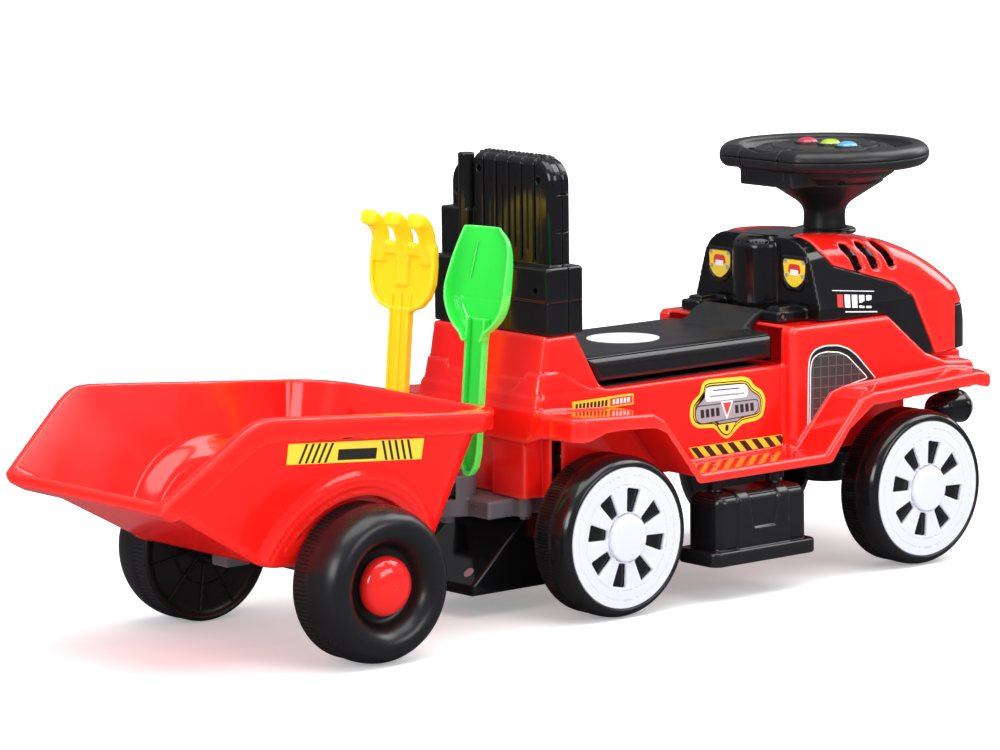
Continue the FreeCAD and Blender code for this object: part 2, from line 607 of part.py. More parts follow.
peg_x = X_FRONT + LINK
write_node("tie_rod", cut(box(peg_x - 6.5, peg_x + 6.0, -80, 80, 68, 74.5),
                          rod_slot(peg_x, Y_KING), rod_slot(peg_x, -Y_KING),
                          rod_slot(X_STEER + LINK, 0)))

crank = join(*steering_arm(X_STEER, 0), rod_z(X_STEER, 0, 76, 83, 7))
write_node("steering_shaft", join(crank, rod_z(X_STEER, 0, 80, 350, AXLE_R)))
lower_bush = rod_z(X_STEER, 0, BEAM_Z[0], PAD_TOP, BUSH_R)
upper_bush = join(rod_z(X_STEER, 0, 284, 302.6, 9.0), rod_z(X_STEER, 0, 284, 289, 12))
write_node("steering_bushes", lower_bush.cut(rod_z(X_STEER, 0, 80, 110, AXLE_R + RUN)),
           upper_bush.cut(rod_z(X_STEER, 0, 280, 310, AXLE_R + RUN)))

# ---------------------------------------------------------------- steering wheel
# turned profiles, (radius, z)
COLUMN = [(AXLE_R, 303.4), (20, 303.4), (19.3, 317), (21, 323), (25, 327.5), (34, 333.8),
          (47, 342.4), (55, 347.6), (55, 349), (38, 344), (24, 336), (AXLE_R, 336)]
BOWL = [(24, 345.2), (38, 345.2), (55, 349.2), (66, 357), (68, 362), (68, Z_RIM), (65.5, Z_RIM),
        (65.5, 363), (53.5, 352), (36, 348), (24, 348)]
HUB_PAD = [(0, 378.4), (40, 378.4), (62, 375), (64, Z_RIM), (68, Z_RIM), (67, 377), (56, 381),
           (0, 381)]
BUTTONS = [("button_red", X_STEER + 4, 27.0), ("button_green", X_STEER + 8, 0),
           ("button_blue", X_STEER + 4, -27.0)]
BUTTON_SPOTS = [(x, y) for _, x, y in BUTTONS]
RIM_REAR = X_STEER - 74     # axis of the straight rear stretch of the rim
BAY_X = (X_STEER - 75, X_STEER - 40)    # battery bay, outside
BAY_HALF, BAY_WALL, BAY_Z = 35, 2.5, 347.5


def rim_half(z_lo, z_hi):
    ring = Part.makeTorus(R_RIM, RIM_R, Vector(X_STEER, 0, Z_RIM), Vector(0, 0, 1))
    ring = ring.cut(box(X_STEER - 120, RIM_REAR, -120, 120, 300, 420))
    ring = join(ring, rod_y(RIM_REAR, Z_RIM, -49.5, 49.5, RIM_R))
    return ring.common(box(200, 520, -120, 120, z_lo, z_hi))


def spokes(z_lo, z_hi):
    """Four spokes; the rear one is shorter and wider."""
    result = []
    for angle in (0, 90, 180, 270):
        plan = (58, 72, -34, 34) if angle == 180 else (60, 84, -24, 24)
        spoke = box(*plan, z_lo, z_hi)
        spoke.rotate(Vector(0, 0, 0), Vector(0, 0, 1), angle)
        spoke.translate(Vector(X_STEER, 0, 0))
        result.append(spoke)
    return result


def wheel_bottom():
    bowl = join(lathe_steer(BOWL), rod_z(X_STEER, 0, 345.2, 348, 26))
    bowl = cut(bowl, box(200, X_STEER - 62, -60, 60, 330, 400))
    bottom = join(rim_half(340, Z_RIM), bowl, *spokes(Z_RIM - 7, Z_RIM))
    bay = box(*BAY_X, -BAY_HALF, BAY_HALF, BAY_Z, Z_RIM)
    inner = BAY_HALF - BAY_WALL
    bay_in = box(BAY_X[0] + BAY_WALL, BAY_X[1] - BAY_WALL, -inner, inner, 340, Z_RIM - 2)
    bottom = join(bottom.cut(bay), cut(bay, bay_in))
    bottom = bottom.cut(rod_z(X_STEER, 0, 330, 352, AXLE_R)).cut(bay_in)
    return cut(join(bottom, *rods_z(WHEEL_SCREWS, 352, Z_RIM, 4.5)),
               *rods_z(WHEEL_SCREWS, 340, Z_RIM + 1, 1.7), *rods_z(WHEEL_SCREWS, 340, 360, 3.2))


def wheel_top():
    top = join(rim_half(Z_RIM, 400), lathe_steer(HUB_PAD), *spokes(Z_RIM, Z_RIM + 5))
    top = cut(join(top, *rods_z(WHEEL_SCREWS, Z_RIM, 379.5, 4.5)),
              *rods_z(WHEEL_SCREWS, 370, 377, 1.5))
    return cut(top, *rods_z(BUTTON_SPOTS, 370, 390, 10.3))


bay_clear = box(BAY_X[0] - 0.4, BAY_X[1] + 0.4, -35.4, 35.4, BAY_Z, 350)
write_node("steering_column", lathe_steer(COLUMN).cut(bay_clear))
write_node("steering_wheel_bottom", wheel_bottom())
write_node("steering_wheel_top", wheel_top())
for name, x, y in BUTTONS:
    dome = Part.makeSphere(13.0, Vector(x, y, 373.2)).common(rod_z(x, y, 380.5, 390, 10.0))
    write_node(name, join(rod_z(x, y, 376.0, 381.6, 10.0), dome, rod_z(x, y, 376.0, 378.0, 11.8)))
write_node("button_pad", join(box(X_STEER - 20, X_STEER + 24, -36, 36, 369.4, 370.8),
                              *rods_z(BUTTON_SPOTS, 370.0, 373.8, 4.0)))
write_node("circuit_board", join(box(X_STEER - 22, X_STEER + 26, -38, 38, 367.6, 369.2),
                                 rod_z(X_STEER - 8, 14, 366.4, 367.7, 5)))
write_node("speaker", join(rod_z(X_STEER + 8, 0, 358, 361, 20),
                           rod_z(X_STEER + 8, 0, 353, 358.2, 11)))
write_node("battery_cover", box(X_STEER - 72.2, X_STEER - 42.8, -32.2, 32.2, BAY_Z, 349.3))
write_node("batteries", *[rod_y(X_STEER + dx, 359.5, -25, 25, 7.0) for dx in (-65.2, -50.2)])
write_node("steering_wheel_screws",
           *[join(rod_z(x, y, 357.6, 359.6, 2.9), rod_z(x, y, 359, 376.5, 1.5))
             for x, y in WHEEL_SCREWS])

# ---------------------------------------------------------------- truck wheels and their covers
# turned profiles, (radius, distance outward from the wheel's inner face)
BORE_R = AXLE_R + RUN
TRUCK_WHEEL = [(67, 0), (71, 0), (72, 3), (72, 31), (71.2, 36.5), (69.2, 40.3), (66, 42.6),
               (63.3, 43), (63.3, 38.2), (22, 38.2), (22, 36.2), (13.5, 34.6), (BORE_R, 34.6),
               (BORE_R, -3.6), (10, -3.6), (10, 31), (60, 34.6), (67, 30)]
TRUCK_COVER = [(0, 43.4), (14, 43.4), (16.5, 42.2), (16.5, 38.3), (62.8, 38.3), (62.8, 42.0),
               (60, 42.6), (23, 42.6), (20, 42.8), (18.2, 45.2), (14, 46.2), (0, 46.4)]
# tapered window in the cover, (radial, tangential)
COVER_WINDOW = [(22.5, 3.4), (42.5, 6.8), (42.5, -6.8), (22.5, -3.4)]
TRUCK_INNER = Y_OUT - W_TRUCK


def truck_wheel(side, x):
    wheel = lathe_y(TRUCK_WHEEL, x, R_TRUCK, side, TRUCK_INNER)
    y_lo, _ = span(side, TRUCK_INNER + 4, TRUCK_INNER + 34)
    for i in range(6):
        rib = box(8, 68, 0, 30, -1.1, 1.1)
        rib.rotate(Vector(0, 0, 0), Vector(0, 1, 0), 60 * i)
        rib.translate(Vector(x, y_lo, R_TRUCK))
        wheel = wheel.fuse(rib)
    return wheel.removeSplitter()


def truck_cover(side, x):
    cover = lathe_y(TRUCK_COVER, x, R_TRUCK, side, TRUCK_INNER)
    for i in range(8):
        angle = math.radians(45 * i + 11)
        cos, sin = math.cos(angle), math.sin(angle)
        window = [(x + r * cos - t * sin, R_TRUCK + r * sin + t * cos) for r, t in COVER_WINDOW]
        cover = cover.cut(prism_y(window, *span(side, 125, 150)))
    return cover


for side, name in SIDES:
    for end, x in (("rear", 0.0), ("front", X_FRONT)):
        write_node("%s_wheel_%s" % (end, name), truck_wheel(side, x))
        write_node("%s_wheel_cover_%s" % (end, name), truck_cover(side, x))


# ---------------------------------------------------------------- upright screws
def screws(places, seat, tip, head=2.4):
    """Screws driven upward, the head lying below the seat height."""
    return [join(rod_z(x, y, seat - head, seat, 4.0), rod_z(x, y, seat - 0.5, tip, 2.0))
            for x, y in places]


write_node("underside_screws", *screws(BEAM_SCREWS, 98, 117), *screws(TOW_SCREWS, 88, 122),
           *screws(STEP_SCREWS, 92, 119.4))
write_node("trailer_screws", *screws(CROSS_SCREWS, 76, 86.8, head=2.2),
           *screws(ARM_SCREWS, 73, 86.8, head=2.2))

# ---------------------------------------------------------------- trailer tub
TUB_BASE, TUB_TOP = 84, 232.0
# side views, (x, z): upper line rear to front, lower line of the rim band front to rear
RIM_LINE = [(-490, 149.3), (-482, 155.6), (-470, 165), (-412, 211), (-397, 219.5),
            (-380, 219.8), (-168, 201.5), (-140, 199.5), (-84, 190)]
RIM_LOW = [(-84, 170), (-140, 180), (-168, 181.5), (-372, 198.5), (-390, 196), (-402, 188),
           (-466, 138.5), (-475, 130)]
SHELF_BAND = [(-160, 201), (-84, 190), (-84, 176), (-160, 186)]
SHELF_UNDER = [(-160, 198), (-84, 187), (-84, 150), (-160, 150)]
# front shelf in plan, (x, y) from the right side in to the centre line
SHELF_OUT = [(-158, -118), (-134, -112), (-112, -92), (-98, -66), (-90, -36), (-88, 0)]
SHELF_IN = [(-158, -115), (-135.5, -109), (-114.5, -90), (-100.8, -65), (-93, -35), (-91, 0)]


def tub_wire(z, inset=0.0, grow=0.0):
    """Plan section of the flaring tub, narrower at its square rear end than at the front."""
    rise = z - 84.0
    x_rear = -357.0 - 1.736 * rise + inset * 2.0 - grow
    x_front = -180.0 + 0.47 * rise - inset * 1.1 + grow
    y_rear = 87.0 + 0.31 * rise - inset * 1.05 + grow
    y_front = 97.0 + 0.245 * rise - inset * 1.05 + grow
    radius = 16.0 + 0.25 * rise
    left = [(x_rear, y_rear)] + quarter_arc(x_front - radius, y_front - radius, radius, 90, 0)
    return wire([Vector(x, y, z) for x, y in left + flip(left[::-1])])


def tool_pose(shape, x, y, turn):
    shape.rotate(Vector(0, 0, 0), Vector(0, 0, 1), turn)
    shape.rotate(Vector(0, 0, 0), Vector(0, 1, 0), TOOL_LEAN)
    shape.translate(Vector(x, y, TOOL_Z))
    return shape


def trailer_tub():
    tub_out = ruled_loft([tub_wire(TUB_BASE), tub_wire(TUB_TOP)])
    tub_in = ruled_loft([tub_wire(TUB_BASE + WALL, WALL), tub_wire(TUB_TOP + 5, WALL)])
    below_rim = prism_y(RIM_LINE + [(-84, 60), (-500, 60), (-500, 141)], -170, 170)
    rim_out = ruled_loft([tub_wire(120, grow=7.0), tub_wire(TUB_TOP, grow=7.0)])
    rim_out = rim_out.common(prism_y(RIM_LINE + RIM_LOW, -170, 170))
    rim_in = ruled_loft([tub_wire(119, grow=4.0), tub_wire(TUB_TOP + 2, grow=4.0)])
    cap_line = RIM_LINE + [(x, z - 3.4) for x, z in RIM_LINE[::-1]]
    cap = rim_out.common(prism_y(cap_line, -170, 170)).cut(tub_in)
    rim = join(rim_out.cut(rim_in), cap)
    trimmed = tub_out.common(below_rim)
    wall = trimmed.cut(tub_in)

    shelf_void = prism_z(symmetric(SHELF_IN), 140, 240)
    shelf_void = shelf_void.common(prism_y(SHELF_UNDER, -170, 170))
    shelf = prism_z(symmetric(SHELF_OUT), 150, 230).common(prism_y(SHELF_BAND, -170, 170))
    shelf = shelf.cut(shelf_void).cut(trimmed)
    tub = join(wall, rim.cut(shelf_void.cut(tub_out)), shelf.cut(tub_in))

    # wheel wells
    for side, _ in SIDES:
        tub = tub.fuse(rod_y(X_TRAIL, Z_TRAIL, *span(side, 99, 125), 77).common(tub_out))
    for side, _ in SIDES:
        tub = tub.cut(rod_y(X_TRAIL, Z_TRAIL, *span(side, 102, 160), 74))
    tub = tub.cut(tool_pose(box(-11, 11, -5.5, 5.5, -60, 60), *RAKE_POSE))
    tub = tub.cut(tool_pose(box(-10, 10, -5.5, 5.5, -60, 60), *SHOVEL_POSE))
    tub = cut(tub, *rods_z(CROSS_SCREWS + ARM_SCREWS, 83, 88, 2.0)).removeSplitter()
    # square off the rear lip and drop any loose sliver
    return max(tub.cut(box(-700, -482, -200, 200, 0, 300)).Solids, key=lambda part: part.Volume)


write_node("trailer_tub", trailer_tub())

# ---------------------------------------------------------------- trailer drawbar and axle
ARM_TOP = 83.8
# side view, (x, z)
ARM = [(-300, 73), (-176, 73), (-146, 106), (HITCH_X, 106), (HITCH_X, 116), (-160, 116),
       (-171, 97), (-178.5, ARM_TOP), (-300, ARM_TOP)]
drawbar = join(prism_y(ARM, -16, 16), box(-300, -256, -82, 82, 76, ARM_TOP),
               *pair(box(X_TRAIL - 12, X_TRAIL + 12, 60, 82, 56, ARM_TOP)),
               rod_z(HITCH_X, 0, 106, 116, 17))
drawbar = cut(drawbar, rod_z(HITCH_X, 0, 100, 120, AXLE_R + RUN),
              rod_y(X_TRAIL, Z_TRAIL, -90, 90, AXLE_R))
write_node("trailer_drawbar", cut(drawbar, *rods_z(CROSS_SCREWS + ARM_SCREWS, 70, 90, 2.2)))
write_node("trailer_axle", rod_y(X_TRAIL, Z_TRAIL, -150, 150, AXLE_R))

# ---------------------------------------------------------------- trailer wheels, hollow mouldings
# turned profiles, (radius, distance outward from the wheel's inner face)
TRAIL_WHEEL = [(66, 0.8), (67.2, 2.3), (67.2, 22), (67.7, 23.5), (67.7, 34), (66.6, 41),
               (63.6, 47.5), (59.5, 51.8), (54.5, 54), (49, 54), (44, 52), (39, 47.6),
               (35.5, 42), (33, 37), (29, 35.4), (BORE_R, 35.4), (BORE_R, -22.4), (9, -22.4),
               (9, 3), (60, 3), (62, 0.8)]
TRAIL_HOLLOW = [(12, 5.6), (61.5, 5.6), (64, 8), (64, 33), (62.5, 40), (59.5, 45.5), (55, 49.5),
                (50, 50.3), (45.5, 48), (41.5, 43.5), (38, 38.5), (35, 33.5), (31, 32.2),
                (12, 32.2)]
# axle cap, (radius, y)
AXLE_CAP = [(AXLE_R, 141.4), (20, 141.4), (24.3, 142.8), (25.6, 146), (24.9, 149.6),
            (22.2, 153.6), (17.5, 157.0), (11.5, 159.1), (5, 159.9), (0, 160.0), (0, 150.0),
            (AXLE_R, 150.0)]
TRAIL_INNER = Y_TRAIL - W_TRAIL


def trailer_wheel(side):
    wheel = lathe_y(TRAIL_WHEEL, X_TRAIL, Z_TRAIL, side, TRAIL_INNER)
    wheel = wheel.cut(lathe_y(TRAIL_HOLLOW, X_TRAIL, Z_TRAIL, side, TRAIL_INNER))
    # openings through the inner web into the cavity
    for i in range(8):
        angle = math.radians(45 * i)
        wheel = wheel.cut(rod_y(X_TRAIL + 38 * math.cos(angle), Z_TRAIL + 38 * math.sin(angle),
                                *span(side, 95, TRAIL_INNER + 7), 6.0))
    return wheel


for side, name in SIDES:
    write_node("trailer_wheel_" + name, trailer_wheel(side))
write_node("trailer_axle_caps", *[lathe_y(AXLE_CAP, X_TRAIL, Z_TRAIL, side) for side, _ in SIDES])

# ---------------------------------------------------------------- sand rake and shovel
# Each tool is drawn upright, x across and z along the handle, then mirrored and placed.
# front views, right half, (x, z) from the handle outward
RAKE_HEAD = [(10.5, 70), (22, 78), (30, 90), (33, 104), (33, 128)]
TINE = [(-5, 136), (4, 136), (9, 146), (17, 151), (26, 152.5), (26, 158.5), (13, 158), (2, 152),
        (-5, 142)]      # side view, (y, z)
# scoop, whole outlines, (x, z)
SCOOP_OUT = [(-9.5, 62), (-22, 72), (-29, 88), (-31, 112), (-30, 136), (-25, 154), (27, 154),
             (31, 136), (31, 112), (29, 88), (22, 72), (9.5, 62)]
SCOOP_IN = [(-7, 70), (-19, 78), (-26, 90), (-28, 112), (-27, 136), (-22, 158), (24, 158),
            (28, 136), (28, 112), (26, 90), (19, 78), (7, 70)]
SCOOP_LIP = [(-3, 170), (-3, 154), (10, 116), (14, 116), (14, 170)]     # side view, (y, z)


def rake():
    handle = cut(box(-10.5, 10.5, -5, 5, -62, 74), box(-7.5, 7.5, 1, 6, -60, 66))
    head = prism_y([(-x, z) for x, z in RAKE_HEAD] + RAKE_HEAD[::-1], -5, 5)
    head = cut(head, box(-26, -6, 1, 8, 90, 122), box(6, 26, 1, 8, 90, 122))
    tines = []
    for x in (-23, 0, 23):
        tines += [box(x - 8, x + 8, -5, 4, 127, 140), prism_x(TINE, x - 7, x + 7)]
    return mirrored(join(handle, head, *tines))


def shovel():
    handle = cut(box(-9.5, 9.5, -5, 5, -64, 70), box(-6.5, 6.5, 1, 6, -60, 62))
    scoop = prism_y(SCOOP_OUT, -8, 10).cut(prism_y(SCOOP_IN, -5.5, 12))
    scoop = scoop.cut(prism_x(SCOOP_LIP, -40, 40))
    return mirrored(join(handle, scoop))


write_node("rake", tool_pose(rake(), *RAKE_POSE))
write_node("shovel", tool_pose(shovel(), *SHOVEL_POSE))
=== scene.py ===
"""A ride-on toy truck with a trailer, a rake and a shovel.

The truck faces +x, +y is its left side and +z is up. Lengths in the shape code are millimetres:
x from the truck's rear axle, z from the floor. scene_units() turns them into scene metres.
"""
import math

import bmesh
import bpy
import numpy as np
from mathutils import Matrix, Vector


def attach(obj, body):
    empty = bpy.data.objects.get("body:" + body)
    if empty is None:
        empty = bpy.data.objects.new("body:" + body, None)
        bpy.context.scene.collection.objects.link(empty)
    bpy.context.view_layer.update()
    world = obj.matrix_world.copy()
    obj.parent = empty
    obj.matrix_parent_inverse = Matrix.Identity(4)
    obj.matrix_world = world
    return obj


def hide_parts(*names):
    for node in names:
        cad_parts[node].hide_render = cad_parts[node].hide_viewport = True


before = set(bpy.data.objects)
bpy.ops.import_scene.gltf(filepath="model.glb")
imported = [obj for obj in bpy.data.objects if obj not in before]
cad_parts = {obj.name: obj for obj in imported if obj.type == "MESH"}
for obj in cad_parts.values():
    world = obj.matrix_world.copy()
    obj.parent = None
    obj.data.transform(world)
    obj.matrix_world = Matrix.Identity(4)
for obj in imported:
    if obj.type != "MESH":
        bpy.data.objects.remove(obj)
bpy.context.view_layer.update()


# ============================================================ driving dimensions (mm)
REAR_AXLE_X = -9.0                      # rear axle in the scene
MM = 0.001
SIDES = ((1, "left"), (-1, "right"))    # sign of y, name
WHEEL_RADIUS = 72.0                     # truck wheels; also their axle height
WHEEL_INNER_Y = 94.0                    # inner face of a truck wheel
FRONT_AXLE_X = 368.0
BODY_HALF = 137                         # half width of the wings
SHAFT_X = 366.0                         # steering shaft
RIM_Z = 373.5                           # middle of the steering wheel rim
HINGE_X, HINGE_Z = 252, 236.2           # seat lid hinge pin
HINGE_RADIUS = 2.55
HITCH_X = -92
BRACKET_SCREW_X, BRACKET_SCREW_Y = -53.5, 60
TRAILER_X, TRAILER_Z = -278.0, 67.7     # trailer axle
TRAILER_INNER_Y = 105.0                 # inner face of a trailer wheel
LAMP_Y, LAMP_Z = 70, 130
SEAT_TOP_Z = 224.5

# ============================================================ distance fields
# A field is a function of x, y, z that is negative inside its solid.
AXES = {"x": (1, 2, 0), "y": (0, 2, 1), "z": (0, 1, 2)}  # two cross directions, then the axis


def winding(points):
    """1.0 for a counter-clockwise polygon, otherwise -1.0."""
    area = 0
    for i, (ax, ay) in enumerate(points):
        bx, by = points[(i + 1) % len(points)]
        area += ax * by - bx * ay
    return 1.0 if area > 0 else -1.0


def polygon_distance(u, v, points):
    """Signed distance to a closed polygon, negative inside."""
    u, v = np.broadcast_arrays(np.asarray(u, np.float32), np.asarray(v, np.float32))
    nearest = np.full(u.shape, 1e12, np.float32)
    inside = np.zeros(u.shape, bool)
    for i, (ax, ay) in enumerate(points):
        bx, by = points[(i + 1) % len(points)]
        ex, ey = bx - ax, by - ay
        wx, wy = u - ax, v - ay
        t = np.clip((wx * ex + wy * ey) / (ex * ex + ey * ey + 1e-12), 0, 1)
        nearest = np.minimum(nearest, (wx - ex * t) ** 2 + (wy - ey * t) ** 2)
        if ey != 0:
            inside ^= ((ay > v) != (by > v)) & (u < ex * (v - ay) / ey + ax)
    nearest = np.sqrt(nearest)
    return np.where(inside, -nearest, nearest)


def inset(points, amount):
    """Polygon with every side moved inwards (either winding)."""
    turn = winding(points)
    lines = []
    for i, (ax, ay) in enumerate(points):
        bx, by = points[(i + 1) % len(points)]
        ex, ey = bx - ax, by - ay
        length = math.hypot(ex, ey)
        nx, ny = -ey / length * turn, ex / length * turn
        lines.append((ax + nx * amount, ay + ny * amount, ex / length, ey / length))
    moved_points = []
    for i, (x2, y2, dx2, dy2) in enumerate(lines):
        x1, y1, dx1, dy1 = lines[i - 1]
        cross = dx1 * dy2 - dy1 * dx2
        if abs(cross) < 1e-3:
            moved_points.append((x2, y2))
        else:
            t = ((x2 - x1) * dy2 - (y2 - y1) * dx2) / cross
            moved_points.append((x1 + dx1 * t, y1 + dy1 * t))
    return moved_points


def round_edge(a, b, radius):
    """Intersection of two distances with its edge rounded."""
    a = a + radius
    b = b + radius
    outside = np.hypot(np.maximum(a, 0), np.maximum(b, 0))
    return np.minimum(np.maximum(a, b), 0) + outside - radius


def outline(axis, points, corner=0.0):
    """Endless prism along an axis."""
    u, v, _ = AXES[axis]
    inner = inset(points, corner) if corner > 0 else points
    return lambda *p: polygon_distance(p[u], p[v], inner) - corner


def slab(axis, middle, half):
    along = AXES[axis][2]
    return lambda *p: np.abs(p[along] - middle) - half


def below(axis, limit):
    """Everything with a coordinate under the limit."""
    along = AXES[axis][2]
    return lambda *p: p[along] - limit


def above(axis, limit):
    along = AXES[axis][2]
    return lambda *p: limit - p[along]


def prism(axis, points, low, high, corner=0.0, rim=0.0):
    """Outline between two stations; corner rounds the outline, rim the end edges."""
    sides = outline(axis, points, corner)
    ends = slab(axis, (low + high) / 2, (high - low) / 2)
    return lambda *p: round_edge(sides(*p), ends(*p), rim)


def box(x0, x1, y0, y1, z0, z1, radius=0.0):
    spans = ((x0, x1), (y0, y1), (z0, z1))
    middles = [(low + high) / 2 for low, high in spans]
    halves = [(high - low) / 2 - radius for low, high in spans]

    def field(x, y, z):
        a, b, c = [np.abs(p - m) - h for p, m, h in zip((x, y, z), middles, halves)]
        inside = np.minimum(np.maximum(a, np.maximum(b, c)), 0)
        squares = np.maximum(a, 0) ** 2 + np.maximum(b, 0) ** 2 + np.maximum(c, 0) ** 2
        return inside + np.sqrt(squares) - radius
    return field


def cylinder(axis, centre_u, centre_v, low, high, radius, rim=0.0):
    u, v, _ = AXES[axis]
    ends = slab(axis, (low + high) / 2, (high - low) / 2)

    def field(*p):
        wall = np.hypot(p[u] - centre_u, p[v] - centre_v) - radius
        return round_edge(wall, ends(*p), rim)
    return field


def turned(axis, centre_u, centre_v, points, corner=0.0):
    """Solid of revolution; points are (radius, station)."""
    u, v, along = AXES[axis]
    inner = inset(points, corner) if corner > 0 else points

    def field(*p):
        radius = np.hypot(p[u] - centre_u, p[v] - centre_v)
        return polygon_distance(radius, p[along], inner) - corner
    return field


def smooth_min(a, b, blend):
    if blend <= 0:
        return np.minimum(a, b)
    h = np.maximum(blend - np.abs(a - b), 0) / blend
    return np.minimum(a, b) - h * h * blend * 0.25


def smooth_max(a, b, blend):
    return -smooth_min(-a, -b, blend)


def join(blend, first, *others):
    """Union of fields with fillets of reach blend, taken in order."""
    def field(*p):
        d = first(*p)
        for other in others:
            d = smooth_min(d, other(*p), blend)
        return d
    return field


def cut(blend, first, *others):
    """First field with the others taken away."""
    def field(*p):
        d = first(*p)
        for other in others:
            d = smooth_max(d, -other(*p), blend)
        return d
    return field


def common(blend, first, *others):
    """Intersection of fields."""
    def field(*p):
        d = first(*p)
        for other in others:
            d = smooth_max(d, other(*p), blend)
        return d
    return field


def grown(field, amount):
    """Field offset outwards; a negative amount shrinks it."""
    return lambda *p: field(*p) - amount


def mirrored(field):
    """The +y half repeated on the -y side."""
    return lambda x, y, z: field(x, np.abs(y), z)


def on_side(field, side):
    """Field as it is for side 1, flipped in y for side -1."""
    return lambda x, y, z: field(x, y * side, z)


def moved(field, matrix):
    """Field carried by a rigid 4x4 matrix."""
    m = np.array(matrix.inverted(), float)

    def carried(x, y, z):
        return field(*[m[i, 0] * x + m[i, 1] * y + m[i, 2] * z + m[i, 3] for i in range(3)])
    return carried


# ============================================================ outline helpers
def fan(cx, cy, radius, start, end, steps=9):
    """Arc points; angles in degrees."""
    points = []
    for i in range(steps + 1):
        angle = math.radians(start + (end - start) * i / steps)
        points.append((cx + radius * math.cos(angle), cy + radius * math.sin(angle)))
    return points


def rounded(points, reach, steps=4, closed=True):
    """Each corner replaced by a quadratic curve that starts `reach` before it."""
    result = []
    for i, point in enumerate(points):
        p = np.array(point, float)
        if not closed and i in (0, len(points) - 1):
            result.append(tuple(p))
            continue
        a = np.array(points[i - 1], float)
        b = np.array(points[(i + 1) % len(points)], float)
        la, lb = np.linalg.norm(a - p), np.linalg.norm(b - p)
        t = min(reach, la * 0.49, lb * 0.49)
        s, e = p + (a - p) / la * t, p + (b - p) / lb * t
        for k in range(steps + 1):
            w = k / steps
            result.append(tuple((1 - w) ** 2 * s + 2 * w * (1 - w) * p + w * w * e))
    return result


def smooth_profile(points, steps):
    """Catmull-Rom curve through (radius, station) points."""
    knots = [np.array(p, float) for p in points]
    knots = [2 * knots[0] - knots[1]] + knots + [2 * knots[-1] - knots[-2]]
    result = []
    for a, b, c, d in zip(knots, knots[1:], knots[2:], knots[3:]):
        for k in range(steps):
            t = k / steps
            bend = (2 * a - 5 * b + 4 * c - d) * t * t + (3 * b - a - 3 * c + d) * t ** 3
            result.append(tuple(0.5 * ((2 * b) + (c - a) * t + bend)))
    return result + [tuple(knots[-2])]


def shifted(points, station):
    """(radius, station) points moved along the axis."""
    return [(radius, station + along) for radius, along in points]


# ============================================================ meshing
CORNERS = np.array([(0, 0, 0), (1, 0, 0), (0, 1, 0), (1, 1, 0),
                    (0, 0, 1), (1, 0, 1), (0, 1, 1), (1, 1, 1)])
EDGES = [(0, 1), (2, 3), (4, 5), (6, 7), (0, 2), (1, 3),
         (4, 6), (5, 7), (0, 4), (1, 5), (2, 6), (3, 7)]
MARGIN = 1.03   # cells between the low corner asked for and the first sample


def sample(field, low, high, cell):
    """Grid axes and the field's values on them."""
    counts = [int(math.ceil((high[i] - low[i]) / cell)) + 3 for i in range(3)]
    axes = [(low[i] - cell * MARGIN + cell * np.arange(counts[i])).astype(np.float32)
            for i in range(3)]
    values = field(axes[0][:, None, None], axes[1][None, :, None], axes[2][None, None, :])
    return axes, np.ascontiguousarray(np.broadcast_to(values, counts), np.float32)


def stored(field, low, high, cell):
    """Field sampled once on a grid and read back by trilinear lookup."""
    values = sample(field, low, high, cell)[1]
    origin = [value - cell * MARGIN for value in low]

    def lookup(x, y, z):
        grid = [np.clip((c - origin[i]) / cell, 0, values.shape[i] - 1.001)
                for i, c in enumerate(np.broadcast_arrays(x, y, z))]
        base = [g.astype(np.int64) for g in grid]
        part = [g - b for g, b in zip(grid, base)]
        total = 0
        for corner in CORNERS:
            i, j, k = corner
            weights = [t if bit else 1 - t for t, bit in zip(part, corner)]
            weight = weights[0] * weights[1] * weights[2]
            total = total + weight * values[base[0] + i, base[1] + j, base[2] + k]
        return total
    return lookup


